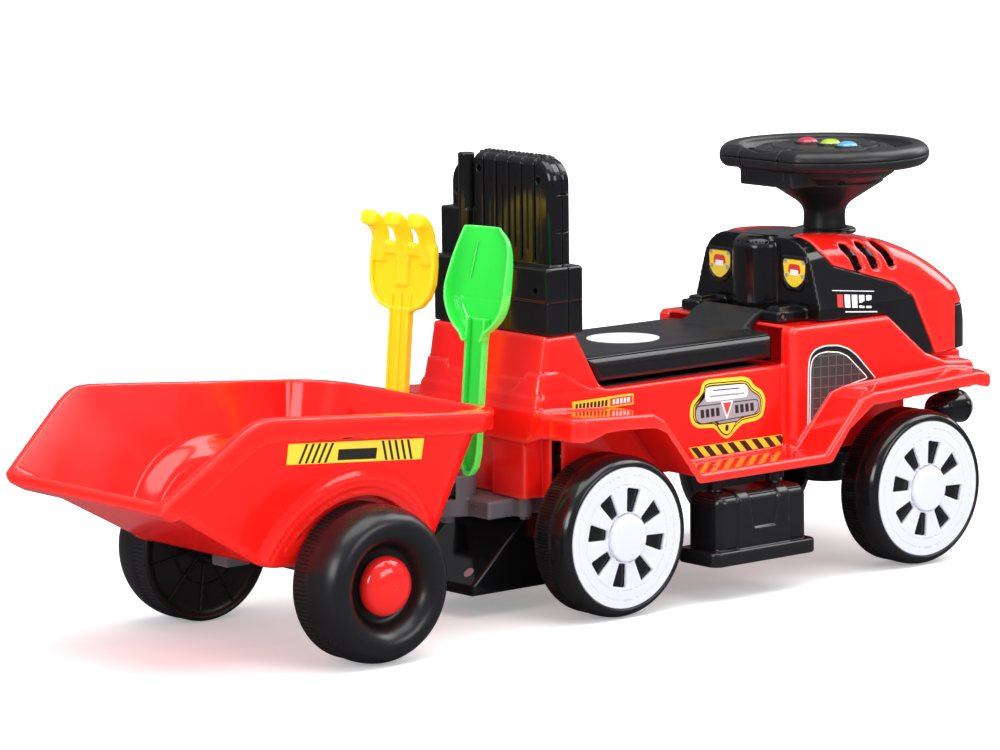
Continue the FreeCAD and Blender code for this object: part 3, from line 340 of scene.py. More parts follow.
def surface_net(field, low, high, cell):
    """One vertex per crossed cell and one quad per crossed grid edge."""
    axes, values = sample(field, low, high, cell)
    n = values.shape
    solid = values < 0
    count = np.zeros([m - 1 for m in n], np.int8)
    for a, b, c in CORNERS:
        count += solid[a:n[0] - 1 + a, b:n[1] - 1 + b, c:n[2] - 1 + c]
    crossed = (count > 0) & (count < 8)
    cells = np.argwhere(crossed)
    index = np.full(crossed.shape, -1, np.int64)
    index[crossed] = np.arange(len(cells))
    at_corner = [values[cells[:, 0] + c[0], cells[:, 1] + c[1], cells[:, 2] + c[2]]
                 for c in CORNERS]
    total = np.zeros((len(cells), 3))
    hits = np.zeros(len(cells))
    for a, b in EDGES:
        fa, fb = at_corner[a], at_corner[b]
        m = (fa < 0) != (fb < 0)
        t = (fa[m] / (fa[m] - fb[m]))[:, None]
        total[m] += CORNERS[a] + t * (CORNERS[b] - CORNERS[a])
        hits[m] += 1
    origin = np.array([axis[0] for axis in axes], float)
    vertices = origin + cell * (cells + total / hits[:, None])
    quads = []
    for k in range(3):
        o1, o2 = (k + 1) % 3, (k + 2) % 3
        near, far = [slice(None)] * 3, [slice(None)] * 3
        near[k], far[k] = slice(0, -1), slice(1, None)
        a, b = solid[tuple(near)], solid[tuple(far)]
        edges = np.argwhere(a != b)
        inner = (edges[:, o1] > 0) & (edges[:, o2] > 0)
        inner &= (edges[:, o1] < n[o1] - 1) & (edges[:, o2] < n[o2] - 1)
        edges = edges[inner]
        starts_solid = a[edges[:, 0], edges[:, 1], edges[:, 2]]
        ring = []
        for d1, d2 in ((-1, -1), (0, -1), (0, 0), (-1, 0)):
            e = edges.copy()
            e[:, o1] += d1
            e[:, o2] += d2
            ring.append(index[e[:, 0], e[:, 1], e[:, 2]])
        ring = np.stack(ring, 1)
        ring[~starts_solid] = ring[~starts_solid][:, ::-1]
        quads.append(ring)
    return vertices, np.concatenate(quads)


def gradient(field, vertices, step):
    slopes = np.empty_like(vertices)
    for i in range(3):
        ahead, behind = vertices.copy(), vertices.copy()
        ahead[:, i] += step
        behind[:, i] -= step
        slopes[:, i] = (field(*ahead.T) - field(*behind.T)) / (2 * step)
    return slopes


def scene_units(x, y, z):
    return (x + REAR_AXLE_X) * MM, y * MM, z * MM


def link(name, data):
    ob = bpy.data.objects.new(name, data)
    bpy.context.scene.collection.objects.link(ob)
    return ob


def quad_object(name, vertices, quads, normals=None):
    mesh = bpy.data.meshes.new(name)
    mesh.vertices.add(len(vertices))
    places = np.stack(scene_units(*np.asarray(vertices, float).T), -1)
    mesh.vertices.foreach_set("co", places.astype(np.float32).ravel())
    mesh.loops.add(quads.size)
    mesh.loops.foreach_set("vertex_index", quads.astype(np.int32).ravel())
    mesh.polygons.add(len(quads))
    mesh.polygons.foreach_set("loop_start", np.arange(0, quads.size, 4, dtype=np.int32))
    mesh.polygons.foreach_set("loop_total", np.full(len(quads), 4, np.int32))
    mesh.update(calc_edges=True)
    mesh.validate()
    mesh.polygons.foreach_set("use_smooth", np.ones(len(mesh.polygons), bool))
    if normals is not None:
        mesh.normals_split_custom_set_from_vertices(normals.astype(np.float32))
    return link(name, mesh)


def dress(ob, material, slot, body, replaced):
    """Give a piece its material, hang it on the body it rides on and hide the CAD piece it
    replaces.
    """
    ob.data.materials.append(material)
    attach(ob, body)
    if replaced:
        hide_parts(replaced)


def skin(name, field, low, high, cell, material, slot, body, replaced=None, place=None):
    """Mesh a field, pull its vertices onto the surface and dress it."""
    vertices, quads = surface_net(field, low, high, cell)
    for _ in range(2):
        d = field(*vertices.T)
        g = gradient(field, vertices, 0.25)
        step = np.clip(d / np.maximum((g * g).sum(1), 0.2), -cell * 0.5, cell * 0.5)
        vertices = vertices - g * step[:, None]
    normals = gradient(field, vertices, min(0.6, cell * 0.35))
    normals /= np.maximum(np.linalg.norm(normals, axis=1), 1e-6)[:, None]
    if place is not None:
        m = np.array(place, float)
        vertices = vertices @ m[:3, :3].T + m[:3, 3]
        normals = normals @ m[:3, :3].T
    dress(quad_object(name, vertices, quads, normals), material, slot, body, replaced)


def skin_on_side(name, field, side, low, high, *finish):
    """Skin a field drawn for the +y side on either side."""
    y0, y1 = sorted((side * low[1], side * high[1]))
    skin(name, on_side(field, side), (low[0], y0, low[2]), (high[0], y1, high[2]), *finish)


def lathe(name, axis, centre, points, segments, material, slot, body, replaced,
          relief=None, side=1, split=35.0):
    """Closed (radius, station) profile turned about an axis line through `centre`.

    relief(radius, station, angle) gives a new radius; edges sharper than `split` stay hard.
    """
    u, v, along = AXES[axis]
    rows = len(points)
    angles = np.linspace(0, 2 * math.pi, segments, endpoint=False)
    radius = np.repeat(np.array([p[0] for p in points], float)[:, None], segments, 1)
    station = np.repeat(np.array([p[1] for p in points], float)[:, None], segments, 1)
    angle = np.repeat(angles[None, :], rows, 0)
    if relief:
        radius = relief(radius, station, angle)
    places = np.empty((rows, segments, 3))
    places[..., u] = centre[0] + radius * np.cos(angle)
    places[..., v] = centre[1] + radius * np.sin(angle)
    places[..., along] = side * station
    i, j = np.meshgrid(np.arange(rows), np.arange(segments), indexing="ij")
    next_i, next_j = (i + 1) % rows * segments, (j + 1) % segments
    i = i * segments
    quads = np.stack([i + j, i + next_j, next_i + next_j, next_i + j], -1).reshape(-1, 4)
    ob = quad_object(name, places.reshape(-1, 3), quads)
    bm = bmesh.new()
    bm.from_mesh(ob.data)
    bmesh.ops.remove_doubles(bm, verts=bm.verts, dist=1e-6)
    bmesh.ops.recalc_face_normals(bm, faces=bm.faces)
    for edge in bm.edges:
        if len(edge.link_faces) == 2 and edge.calc_face_angle(0) > math.radians(split):
            edge.smooth = False
    for face in bm.faces:
        face.smooth = True
    bm.to_mesh(ob.data)
    bm.free()
    dress(ob, material, slot, body, replaced)


# ============================================================ material helpers
FACTOR, COLOR_A, COLOR_B, COLOR_OUT = 0, 6, 7, 2    # sockets of a colour Mix node
NO, YES = (0, 0, 0), (1, 1, 1)                      # ends of a mask ramp


def feed(tree, node, inputs):
    """Set input values, or link them where the value is a socket."""
    for key, value in inputs.items():
        if isinstance(value, bpy.types.NodeSocket):
            tree.links.new(value, node.inputs[key])
        else:
            node.inputs[key].default_value = value


def add(tree, kind, inputs=None, **settings):
    node = tree.nodes.new("ShaderNode" + kind)
    for key, value in settings.items():
        setattr(node, key, value)
    feed(tree, node, inputs or {})
    return node


def new_material(name):
    material = bpy.data.materials.new(name)
    material.use_nodes = True
    tree = material.node_tree
    tree.nodes.clear()
    output = add(tree, "OutputMaterial")
    shader = add(tree, "BsdfPrincipled")
    tree.links.new(shader.outputs[0], output.inputs[0])
    return material, tree, shader


def ramp(tree, source, stops):
    """Colour ramp; stops are (position, rgb)."""
    node = add(tree, "ValToRGB", {0: source})
    elements = node.color_ramp.elements
    for element, (position, color) in zip(elements, (stops[0], stops[-1])):
        element.position = position
        element.color = (*color, 1)
    for position, color in stops[1:-1]:
        elements.new(position).color = (*color, 1)
    return node.outputs[0]


def object_coords(tree, scale=(1.0, 1.0, 1.0)):
    source = add(tree, "TexCoord").outputs["Object"]
    return add(tree, "Mapping", {"Scale": scale, "Vector": source}).outputs[0]


def noise(tree, place, scale, detail=2.0):
    return add(tree, "TexNoise", {"Scale": scale, "Detail": detail, "Vector": place})


def scaled(tree, source, factor):
    return add(tree, "Math", {0: source, 1: factor}, operation="MULTIPLY").outputs[0]


def scaled_sum(tree, source, factor, base):
    inputs = {0: source, 1: factor, 2: base}
    return add(tree, "Math", inputs, operation="MULTIPLY_ADD").outputs[0]


def mix(tree, factor, a, b, **settings):
    inputs = {FACTOR: factor, COLOR_A: a, COLOR_B: b}
    return add(tree, "Mix", inputs, data_type="RGBA", **settings).outputs[COLOR_OUT]


def bump(tree, height, distance, strength, normal=None):
    node = add(tree, "Bump", {"Distance": distance, "Strength": strength, "Height": height})
    if normal:
        feed(tree, node, {"Normal": normal})
    return node.outputs[0]


def plastic(name, color, rough=0.16, tone=0.06, coat=0.35, grain=0.0, grain_scale=900.0,
            wear=0.12, worn=None, crease=0.75, wave=0.0, scratch=0.02,
            subsurface=0.0, clear=0.0, painted_glow=0.0):
    """Moulded plastic: mottled tone, uneven polish, scratches or grain, rubbed edges.

    tone is the mottling, worn the rubbed edge colour shown by wear, crease the painted shade
    darkening the hollows, and wave, scratch and grain are relief strengths. Its emission
    setting paints light: the part shines in its own colour though it is no lamp.
    """
    material, tree, shader = new_material(name)
    place = object_coords(tree)
    mottle = noise(tree, place, scale=9.0, detail=5.0)
    base = ramp(tree, mottle.outputs["Fac"], [
        (0.3, tuple(c * (1 - tone) for c in color)),
        (0.7, tuple(min(1, c * (1 + tone)) for c in color))])
    pointed = add(tree, "NewGeometry").outputs["Pointiness"]
    edges = ramp(tree, pointed, [(0.5, NO), (0.56, YES)])
    worn = worn or tuple(min(1.0, c * 1.35 + 0.06) for c in color)
    rubbed = mix(tree, scaled(tree, edges, wear), base, (*worn, 1))
    # painted shade: the colour is darkened in the hollows, where pointiness is low
    hollows = ramp(tree, pointed, [(0.44, (crease,) * 3), (0.5, YES)])
    shaded = mix(tree, 1.0, rubbed, hollows, blend_type="MULTIPLY")
    smudges = noise(tree, place, scale=26.0, detail=7.0)
    polish = add(tree, "MapRange", {
        "Value": smudges.outputs["Fac"], "From Min": 0.3, "From Max": 0.7,
        "To Min": rough * 0.8, "To Max": rough * 1.25 + 0.01})
    feed(tree, shader, {
        "Base Color": shaded,
        "Roughness": scaled_sum(tree, edges, 0.10, polish.outputs[0]),
        "IOR": 1.49,
        "Coat Weight": coat,
        "Coat Roughness": rough * 0.5})
    if subsurface:
        feed(tree, shader, {"Subsurface Weight": subsurface, "Subsurface Scale": 1.0,
                            "Subsurface Radius": (0.004, 0.002, 0.001)})
    if clear:
        feed(tree, shader, {"Transmission Weight": clear})
    # painted light: the part shines in its own colour by emission, though it is no lamp
    if painted_glow:
        feed(tree, shader, {"Emission Color": (*color, 1), "Emission Strength": painted_glow})
    normal = None
    if wave:
        swell = noise(tree, place, scale=14.0, detail=1.0)
        normal = bump(tree, swell.outputs["Fac"], distance=0.002, strength=wave)
    streaks = noise(tree, object_coords(tree, (60.0, 900.0, 500.0)), scale=2.0, detail=4.0)
    normal = bump(tree, streaks.outputs["Fac"], 0.0002, scratch, normal)
    if grain:
        pits = add(tree, "TexVoronoi", {"Scale": grain_scale, "Vector": place},
                   feature="SMOOTH_F1")
        normal = bump(tree, pits.outputs["Distance"], 0.0004, grain, normal)
    feed(tree, shader, {"Normal": normal})
    return material


def metal(name, color, rough):
    """Metal with fine streaks along y in tone, polish and relief."""
    material, tree, shader = new_material(name)
    place = object_coords(tree, (400.0, 30.0, 400.0))
    streaks = noise(tree, place, scale=3.0, detail=6.0).outputs["Fac"]
    dull = tuple(c * 0.85 for c in color)
    polish = add(tree, "MapRange",
                 {"Value": streaks, "To Min": rough * 0.7, "To Max": rough * 1.4})
    feed(tree, shader, {
        "Base Color": ramp(tree, streaks, [(0.35, dull), (0.65, color)]),
        "Roughness": polish.outputs[0],
        "Metallic": 1.0,
        "Normal": bump(tree, streaks, distance=0.0002, strength=0.15)})
    return material


def seat_material():
    """Gloss sides with a matt, leather-grained top."""
    material, tree, shader = new_material("seat_black")
    place = object_coords(tree)
    height = add(tree, "SeparateXYZ", {0: place}).outputs["Z"]
    on_top = ramp(tree, height, [(0.2228, NO), (0.2238, YES)])
    mottle = noise(tree, place, scale=14.0, detail=5.0)
    base = ramp(tree, mottle.outputs["Fac"],
                [(0.3, (0.006, 0.006, 0.007)), (0.7, (0.011, 0.011, 0.012))])
    pointed = add(tree, "NewGeometry").outputs["Pointiness"]
    edges = ramp(tree, pointed, [(0.5, NO), (0.58, YES)])
    rubbed = mix(tree, scaled(tree, edges, 0.10), base, (0.07, 0.07, 0.075, 1))
    polish = add(tree, "MapRange", {"Value": on_top, "To Min": 0.11, "To Max": 0.46})
    smudges = noise(tree, place, scale=40.0, detail=6.0)
    # the leather cells are bent by a fine noise, and only show on the top
    bend = noise(tree, place, scale=160.0, detail=2.0)
    bent = add(tree, "VectorMath",
               {0: bend.outputs["Color"], 1: (0.004, 0.004, 0.004), 2: place},
               operation="MULTIPLY_ADD")
    cells = add(tree, "TexVoronoi", {"Scale": 520.0, "Vector": bent.outputs[0]},
                feature="DISTANCE_TO_EDGE")
    leather = scaled(tree, cells.outputs["Distance"], on_top)
    normal = bump(tree, leather, distance=0.0010, strength=0.75)
    swell = noise(tree, place, scale=12.0)
    normal = bump(tree, swell.outputs["Fac"], distance=0.002, strength=0.12, normal=normal)
    feed(tree, shader, {
        "Base Color": rubbed,
        "Roughness": scaled_sum(tree, smudges.outputs["Fac"], 0.12, polish.outputs[0]),
        "Coat Weight": 0.10,
        "Normal": normal})
    return material


# ============================================================ materials
# RED, YELLOW and GREEN shine with painted light (emission), and every plastic carries painted
# shade in its hollows
RED = plastic("red_gloss", (0.93, 0.010, 0.006), rough=0.12, tone=0.03, wear=0.22,
              worn=(1.0, 0.16, 0.12), crease=0.80, wave=0.08, scratch=0.012, painted_glow=0.03)
BLACK = plastic("black_gloss", (0.0055, 0.0055, 0.0062), rough=0.12, tone=0.15, coat=0.18,
                wear=0.08, worn=(0.06, 0.06, 0.065), wave=0.08)
STEP_BLACK = plastic("step_black", (0.008, 0.008, 0.009), rough=0.20, tone=0.12, coat=0.2,
                     wear=0.10, worn=(0.06, 0.06, 0.065), wave=0.08, grain=0.02)
SATIN = plastic("black_satin", (0.010, 0.010, 0.011), rough=0.34, tone=0.12, coat=0.05,
                grain=0.08, grain_scale=1100, worn=(0.07, 0.07, 0.075))
TYRE_GLOSS = plastic("tyre_gloss", (0.0055, 0.0055, 0.006), rough=0.15, tone=0.15, coat=0.25,
                     wear=0.08, worn=(0.05, 0.05, 0.055), wave=0.10, scratch=0.03)
TYRE_SATIN = plastic("tyre_satin", (0.0075, 0.0075, 0.0085), rough=0.30, tone=0.12, coat=0.08,
                     wear=0.08, worn=(0.05, 0.05, 0.055), wave=0.08, grain=0.05)
WHITE = plastic("cover_white", (0.66, 0.68, 0.75), rough=0.32, tone=0.02, coat=0.10, wear=0.3,
                worn=(0.90, 0.90, 0.94), crease=0.78, scratch=0.03, wave=0.06)
GREY = plastic("grey_plastic", (0.135, 0.125, 0.140), rough=0.30, coat=0.10, wear=0.2,
               grain=0.05)
YELLOW = plastic("rake_yellow", (1.0, 0.70, 0.012), rough=0.13, tone=0.03, coat=0.4,
                 subsurface=0.25, wear=0.35, worn=(1.0, 0.80, 0.10), crease=0.80, painted_glow=0.22)
GREEN = plastic("shovel_green", (0.035, 0.74, 0.07), rough=0.12, tone=0.03, coat=0.5,
                subsurface=0.25, wear=0.35, worn=(0.30, 0.95, 0.32), crease=0.72, painted_glow=0.12)
DOME_RED = plastic("dome_red", (0.78, 0.015, 0.012), rough=0.10, tone=0.03, coat=0.6,
                   wear=0.1, crease=0.9)
LENS = plastic("lens_clear", (0.72, 0.75, 0.80), rough=0.10, tone=0.03, coat=0.6,
               clear=0.45, wear=0.1)
STEEL = metal("zinc_steel", (0.62, 0.62, 0.64), rough=0.28)
BOARD = plastic("board_green", (0.02, 0.16, 0.06), rough=0.35)
RUBBER = plastic("pad_rubber", (0.22, 0.22, 0.23), rough=0.6, coat=0.0, grain=0.2)
CELL = plastic("battery_wrap", (0.09, 0.09, 0.11), rough=0.25)
BUTTON_LOOK = dict(rough=0.08, coat=0.8, clear=0.25, wear=0.1)
BUTTON_RED = plastic("button_red", (0.80, 0.03, 0.07), **BUTTON_LOOK)
BUTTON_GREEN = plastic("button_green", (0.52, 0.78, 0.03), **BUTTON_LOOK)
BUTTON_BLUE = plastic("button_blue", (0.12, 0.50, 0.80), **BUTTON_LOOK)
SEAT = seat_material()


def ink(name, color, rough=0.3, coat=0.3, painted_glow=0.0):
    """Printed colour, with optional painted light shining in its own colour."""
    return plastic(name, color, rough=rough, coat=coat, painted_glow=painted_glow,
                   tone=0.03, wear=0.1, scratch=0.03, wave=0.04)


# INK_YELLOW and INK_WHITE shine with painted light (emission)
INK_YELLOW = ink("print_yellow", (0.95, 0.66, 0.02), coat=0.2, painted_glow=0.08)
INK_BLACK = ink("print_black", (0.014, 0.013, 0.012))
INK_WHITE = ink("print_white", (0.86, 0.86, 0.86), rough=0.35, coat=0.1, painted_glow=0.14)
INK_GREY = ink("print_grey", (0.36, 0.36, 0.39))
INK_WIRE = ink("print_wire", (0.14, 0.13, 0.13))
INK_RED = ink("print_red", (0.75, 0.035, 0.02))
INK_DARK = ink("print_dark", (0.040, 0.036, 0.036))
INK_PALE = ink("print_pale", (0.55, 0.33, 0.36))

# ============================================================ truck body shell
# Half plan outlines (x, y) of the ends, from the side to the middle.
FRONT_EDGE = [(450, 137), (466, 110), (479, 66), (485, 30), (486, 0)]
REAR_EDGE = [(-46, 137), (-55, 128), (-58, 100), (-66, 80), (-66, 0)]
PLAN = (REAR_EDGE + [(x, -y) for x, y in REAR_EDGE[-2::-1]]
        + [(x, -y) for x, y in FRONT_EDGE] + FRONT_EDGE[-2::-1])
# Side profile (x, z) of the wings: upper line rear to front, lower line front to rear.
WING_TOP = [(-96, 183), (-83, 183), (-70, 183), (-44, 182.5), (35, 178), (47, 171),
            (89.6, 118.2), (241.8, 118.6), (285, 164), (302, 168.5), (433, 173.5), (460, 171),
            (478, 167), (486, 160)]
WING_UNDER = [(486, 150), (478, 151), (472, 156), (448, 157), (433, 160.5), (302, 156),
              (272, 137), (250, 108.8), (87.7, 108.4), (50, 158), (37, 164), (0, 166.5),
              (-20, 166), (-40, 160), (-96, 160)]
# Side profiles (x, z).
MIDDLE_SIDE = [(-62, 104), (-62, 162), (-55, 195), (245, 195), (245, 112), (60, 112), (52, 104)]
NOSE_BOX_SIDE = [(238, 112), (238, 226), (242, 230), (362, 229), (410, 190), (436, 180),
                 (482, 176), (482, 150), (290, 150), (262, 112)]
TOWER_SIDE = [(-68, 158), (-57, 176), (-49, 215), (-43, 247.8), (-7, 247.8), (24, 193),
              (24, 160)]
TOWER_BORE = [(-59, 161), (-53, 178), (-46, 214), (-40.4, 244.8), (-9.2, 244.8), (17, 194),
              (17, 161)]
SKIRT_SIDE = [(-90, 150), (-90, 216.5), (-27, 215), (-20, 211.5), (12, 192.5), (18, 190),
              (40, 190), (40, 150)]
TUNNEL_OUTER = [(314, 104), (314, 229), (362, 229), (410, 190), (420, 186.4), (420, 104)]
TUNNEL_BORE = [(317.5, 108), (317.5, 226), (360.5, 226), (407, 187), (416.5, 184),
               (416.5, 108)]
# Rear view (y, z) of the tower's skirt.
SKIRT_REAR = [(-90, 150), (-90, 215.6), (-62.8, 215.6), (-57, 211), (-51, 201),
              (-45.5, 197.6), (38.6, 200.4), (43, 203), (51, 216), (55, 219.6), (90, 218.4),
              (90, 150)]
BODY_WALL = 3.4


def rear_plane(x, y, z):
    """Leaning plane that closes the body at the rear."""
    return (-x - (49.6 + np.clip(215.0 - z, 0, 60) * 0.25)) * 0.97


def flare(x, y, z):
    """Widening foot of the tower, sloping down towards the front."""
    side = (np.abs(y) - (79.7 + np.clip(212.0 - z, 0, 50) * 0.14)) * 0.98
    d = round_edge(side, rear_plane(x, y, z), 7.0)
    slope = (z - (209.0 - np.clip(x + 26, 0, 60) * 0.62)) * 0.85
    d = smooth_max(d, np.maximum(z - 214.0, slope), 2.0)
    d = smooth_max(d, 159.5 - z, 2.0)
    return smooth_max(d, x + 24.0, 3.0)


def rear_trim(x, y, z):
    """Rear limit of everything lower than the top of the flare."""
    return np.where(z < 216, rear_plane(x, y, z) - 2.0, -1.0)


def build_body():
    low, high, cell = (-99, -139, 56), (489, 139, 250), 2.3
    plan = prism("z", PLAN, 60, 280, 1.5)
    rear_limit = grown(rear_plane, 0.2)
    middle = cut(1.6, prism("y", MIDDLE_SIDE, -82, 82, 2.0, 3.0),
                 join(0, mirrored(box(-80, -42, 71, 96, 80, 158, 1.0)),
                      box(-80, -54, -25, 25, 80, 158, 1.5)))
    tower = prism("y", TOWER_SIDE, -79.7, 79.7, 2.5, 6.0)
    nose_box = common(4.0, prism("y", NOSE_BOX_SIDE, -93, 93, 2.0, 6.0), plan)
    skirt = common(1.2, grown(tower, 1.9), prism("y", SKIRT_SIDE, -95, 95, 1.5),
                   prism("x", SKIRT_REAR, -95, 60, 1.5))
    wings = common(6.0, prism("y", WING_TOP + WING_UNDER, -BODY_HALF, BODY_HALF, 1.2, 5.6), plan)

    # outer form
    outer = join(9, middle, tower)
    outer = join(1.0, outer, skirt)
    outer = join(2.0, outer, flare)
    outer = join(5, outer, nose_box)
    outer = join(5, outer, common(2.0, wings, rear_limit))
    outer = common(1.5, outer, rear_trim)
    outer = join(3, outer, common(2.0, box(425, 484, -66, 66, 166, 184, 2.0), plan))
    outer = cut(2, outer, box(228, 242.5, -77, 77, 195, 262, 1.5))

    # hollows
    main = join(0, middle, nose_box)
    kept = join(0, mirrored(box(-80, -38.8, 67.8, 96, 50, 160)),
                box(-80, -50.8, -28.2, 28.2, 50, 160))

    def main_inside(x, y, z):
        """Interior carried straight down, so the shell is open underneath."""
        d = np.minimum(main(x, y, z) + BODY_WALL, flare(x, y, z) + 3.6)
        d = np.minimum.accumulate(d[:, :, ::-1], axis=2)[:, :, ::-1]
        return np.maximum(d, -kept(x, y, z))

    open_wings = prism("y", WING_TOP + [(486, 60), (-96, 60)], -BODY_HALF, BODY_HALF, 0, 5.6)
    wings_inside = grown(common(2.0, common(6.0, open_wings, plan), rear_limit), -BODY_WALL)
    field = cut(1.0, outer, stored(main_inside, low, high, cell))
    field = cut(0, field, prism("y", TOWER_BORE, -76.4, 76.4, 1.0, 4.5))
    field = cut(1.0, field, cut(0, wings_inside, join(0, main, tower, flare)))

    # tunnel round the steering gear, axle blocks and screw posts
    tunnel = cut(0, prism("y", TUNNEL_OUTER, -52, 52), prism("y", TUNNEL_BORE, -48.5, 48.5))
    fittings = mirrored(join(
        0, box(-14, 14, 64, 82, 58, 125, 2.0),
        cylinder("z", BRACKET_SCREW_X, BRACKET_SCREW_Y, 104, 159, 6.5, 0.8),
        box(20, 40, 66, 82, 104, 130, 1.5)))
    field = join(1.5, field, tunnel, fittings)

    # openings: steering shaft, rear axle, storage tray, backrest tabs
    field = cut(0, field, cylinder("z", SHAFT_X, 0, 90, 240, 13),
                cylinder("y", 0, WHEEL_RADIUS, -90, 90, 6.2))
    field = cut(1.0, field, box(32, 212, -64, 64, 185, 205, 4))
    field = cut(0, field, mirrored(box(-28.2, -15.8, 39.8, 60.2, 240, 252)))
    skin("truck_body", field, low, high, cell, RED, "red_gloss", "truck", "body_shell")


build_body()

# ============================================================ seat lid
# Side profiles (x, z).
SEAT_OUTER = [(21.5, 196.8), (8.0, 221), (10.5, SEAT_TOP_Z), (232, SEAT_TOP_Z), (237, 220),
              (237, 196.8)]
SEAT_INNER = [(24.5, 180), (24.5, 199), (12.5, 220.6), (232.5, 220.6), (233.5, 219),
              (233.5, 180)]
SEAT_TONGUE = [(222, 218.5), (222, SEAT_TOP_Z), (240, 237.6), (249, 240), (252, 240.2),
               (252, 232.2), (243, 231.4), (236, 219)]
TONGUE_HALF = 41.4


def build_seat():
    field = cut(0.8, prism("y", SEAT_OUTER, -74, 74, 1.0, 12.0),
                prism("y", SEAT_INNER, -70.4, 70.4, 0.5, 2.0))
    field = join(5.0, field, prism("y", SEAT_TONGUE, -TONGUE_HALF, TONGUE_HALF, 0.8, 2.0))
    field = join(2.0, field,
                 cylinder("y", HINGE_X, HINGE_Z, -TONGUE_HALF, TONGUE_HALF, 4.0, 0.6))
    field = cut(0, field, cylinder("y", HINGE_X, HINGE_Z, -45, 45, HINGE_RADIUS))
    skin("seat_lid_shell", field, (6, -76, 195), (258, 76, 243), 1.7,
         SEAT, "seat_black", "seat", "seat_lid")


build_seat()

# ============================================================ bonnet, dash console, grille
NOSE_START, NOSE_END = 280, 500     # x of the bonnet's ends
# Top line (x, z) and half width (x, y) along the bonnet.
NOSE_TOP = [(280, 304), (300, 306), (330, 304.5), (361, 301.5), (395, 294), (425, 283),
            (455, 268), (480, 252), (494, 240), (500, 226)]
NOSE_HALF = [(280, 85), (330, 85), (380, 83.5), (430, 77), (455, 71), (480, 64), (494, 57),
             (500, 50)]
# Side profiles (x, z): what belongs to the console, and what lies over the body.
CONSOLE_REGION = [(284, 330), (297, 291), (308, 278.6), (382.6, 256.5), (403, 243),
                  (437, 184), (437, 150), (540, 150), (540, 330)]
OVER_BODY = [(270, 230.4), (362.2, 229.4), (410.3, 190.6), (425.8, 184.8), (427, 184.3),
             (520, 184.3), (520, 330), (270, 330)]
NOSE_WALL = 3.0


def smooth_line(table):
    """Table resampled every millimetre and smoothed with a Hann window."""
    xs, ys = np.array(table, float).T
    line = np.interp(NOSE_STATIONS, xs, ys)
    reach = 15
    padded = np.concatenate([2 * line[0] - line[reach:0:-1], line,
                             2 * line[-1] - line[-2:-reach - 2:-1]])
    window = np.hanning(2 * reach + 1)
    window /= window.sum()
    return np.convolve(padded, window, "valid")


NOSE_STATIONS = np.linspace(NOSE_START, NOSE_END, 221)
TOP_LINE = smooth_line(NOSE_TOP)
HALF_LINE = smooth_line(NOSE_HALF)
TOP_SLOPE = np.gradient(TOP_LINE)


def bonnet(inward):
    """Bonnet volume, offset inwards."""
    def field(x, y, z):
        along = np.clip(x, NOSE_START, NOSE_END)
        top_z = np.interp(along, NOSE_STATIONS, TOP_LINE).astype(np.float32)
        half = np.interp(along, NOSE_STATIONS, HALF_LINE).astype(np.float32)
        half = half - np.maximum(z - 241.0, 0) * (14.0 / 45.0)
        side = (np.abs(y) - half) * 0.955
        crown = 3.6 * (np.minimum(np.abs(y), 85) / 85.0) ** 2
        slope = np.interp(along, NOSE_STATIONS, TOP_SLOPE)
        top = (z - (top_z - crown)) / np.sqrt(1 + slope * slope)
        d = round_edge(side, top, 20.0)
        front = x - (500.0 - 0.35 * np.maximum(z - 226, 0) - 4.8 * (np.abs(y) / 60) ** 2)
        d = round_edge(d, front, 6.0)
        return np.maximum(d, 280.0 - x) + inward
    return field


def collar(radius):
    """Round-fronted block about the steering shaft, running back from it."""
    return join(0, cylinder("z", SHAFT_X, 0, 250, 340, radius),
                box(200, SHAFT_X, -radius, radius, 250, 340))


over_body = prism("y", OVER_BODY, -120, 120)
# everything in front of and above this line is bonnet-side, the rest is console
console_line = prism("y", CONSOLE_REGION, -140, 140)


def build_hood():
    outer = bonnet(-0.8)
    vents = mirrored(join(0, *[
        prism("y", [(x - 1.5, 297), (x + 11.5, 295.2), (x + 19, 286), (x + 22.8, 271.6),
                    (x + 13, 271.2), (x + 8.5, 284)], 50, 100, 3.0)
        for x in (322, 344, 366)]))

    def bevelled_vents(x, y, z):
        """Slots that are wide at the skin and straight further in."""
        return vents(x, y, z) - np.clip(2.2 + outer(x, y, z), 0, 2.2) * 0.9

    field = common(2.4, outer, grown(console_line, -0.35))
    field = cut(2.0, field, collar(33.9), box(472.3, 530, -130, 130, 150, 227.4))
    field = common(1.0, field, grown(over_body, -0.5))
    field = cut(1.2, field, bevelled_vents)
    field = cut(0, field, bonnet(NOSE_WALL))
    skin("hood_shell", field, (281, -88, 182), (502, 88, 309), 1.9,
         RED, "red_gloss", "truck", "hood")


def build_grille():
    field = common(2.0, bonnet(-0.4), box(473, 530, -130, 130, 150, 226.5))
    field = common(1.0, field, above("z", 184.6))
    field = cut(0, field, common(0, bonnet(3.2), above("x", 476.5)))
    skin("front_grille_panel", field, (471, -80, 183), (502, 80, 229), 1.25,
         BLACK, "black_gloss", "truck", "front_grille")


# Shield outlines (y from the shield's middle, z) on the console's rear wall.
SHIELD_Y = 51
SHIELD_RIM = [(-16.5, 288), (16.5, 288), (18.5, 282), (17, 266), (9, 256.5), (-9, 256.5),
              (-17, 266), (-18.5, 282)]
SHIELD_POCKET = [(-13.5, 285.4), (13.5, 285.4), (15.4, 281), (14, 267), (7.6, 259.2),
                 (-7.6, 259.2), (-14, 267), (-15.4, 281)]
COLLAR_RIM = [(21.2, 299), (21.2, 303.2), (23.0, 304.2), (27.5, 303.6), (29.5, 302.2),
              (29.5, 299)]     # (radius, z)


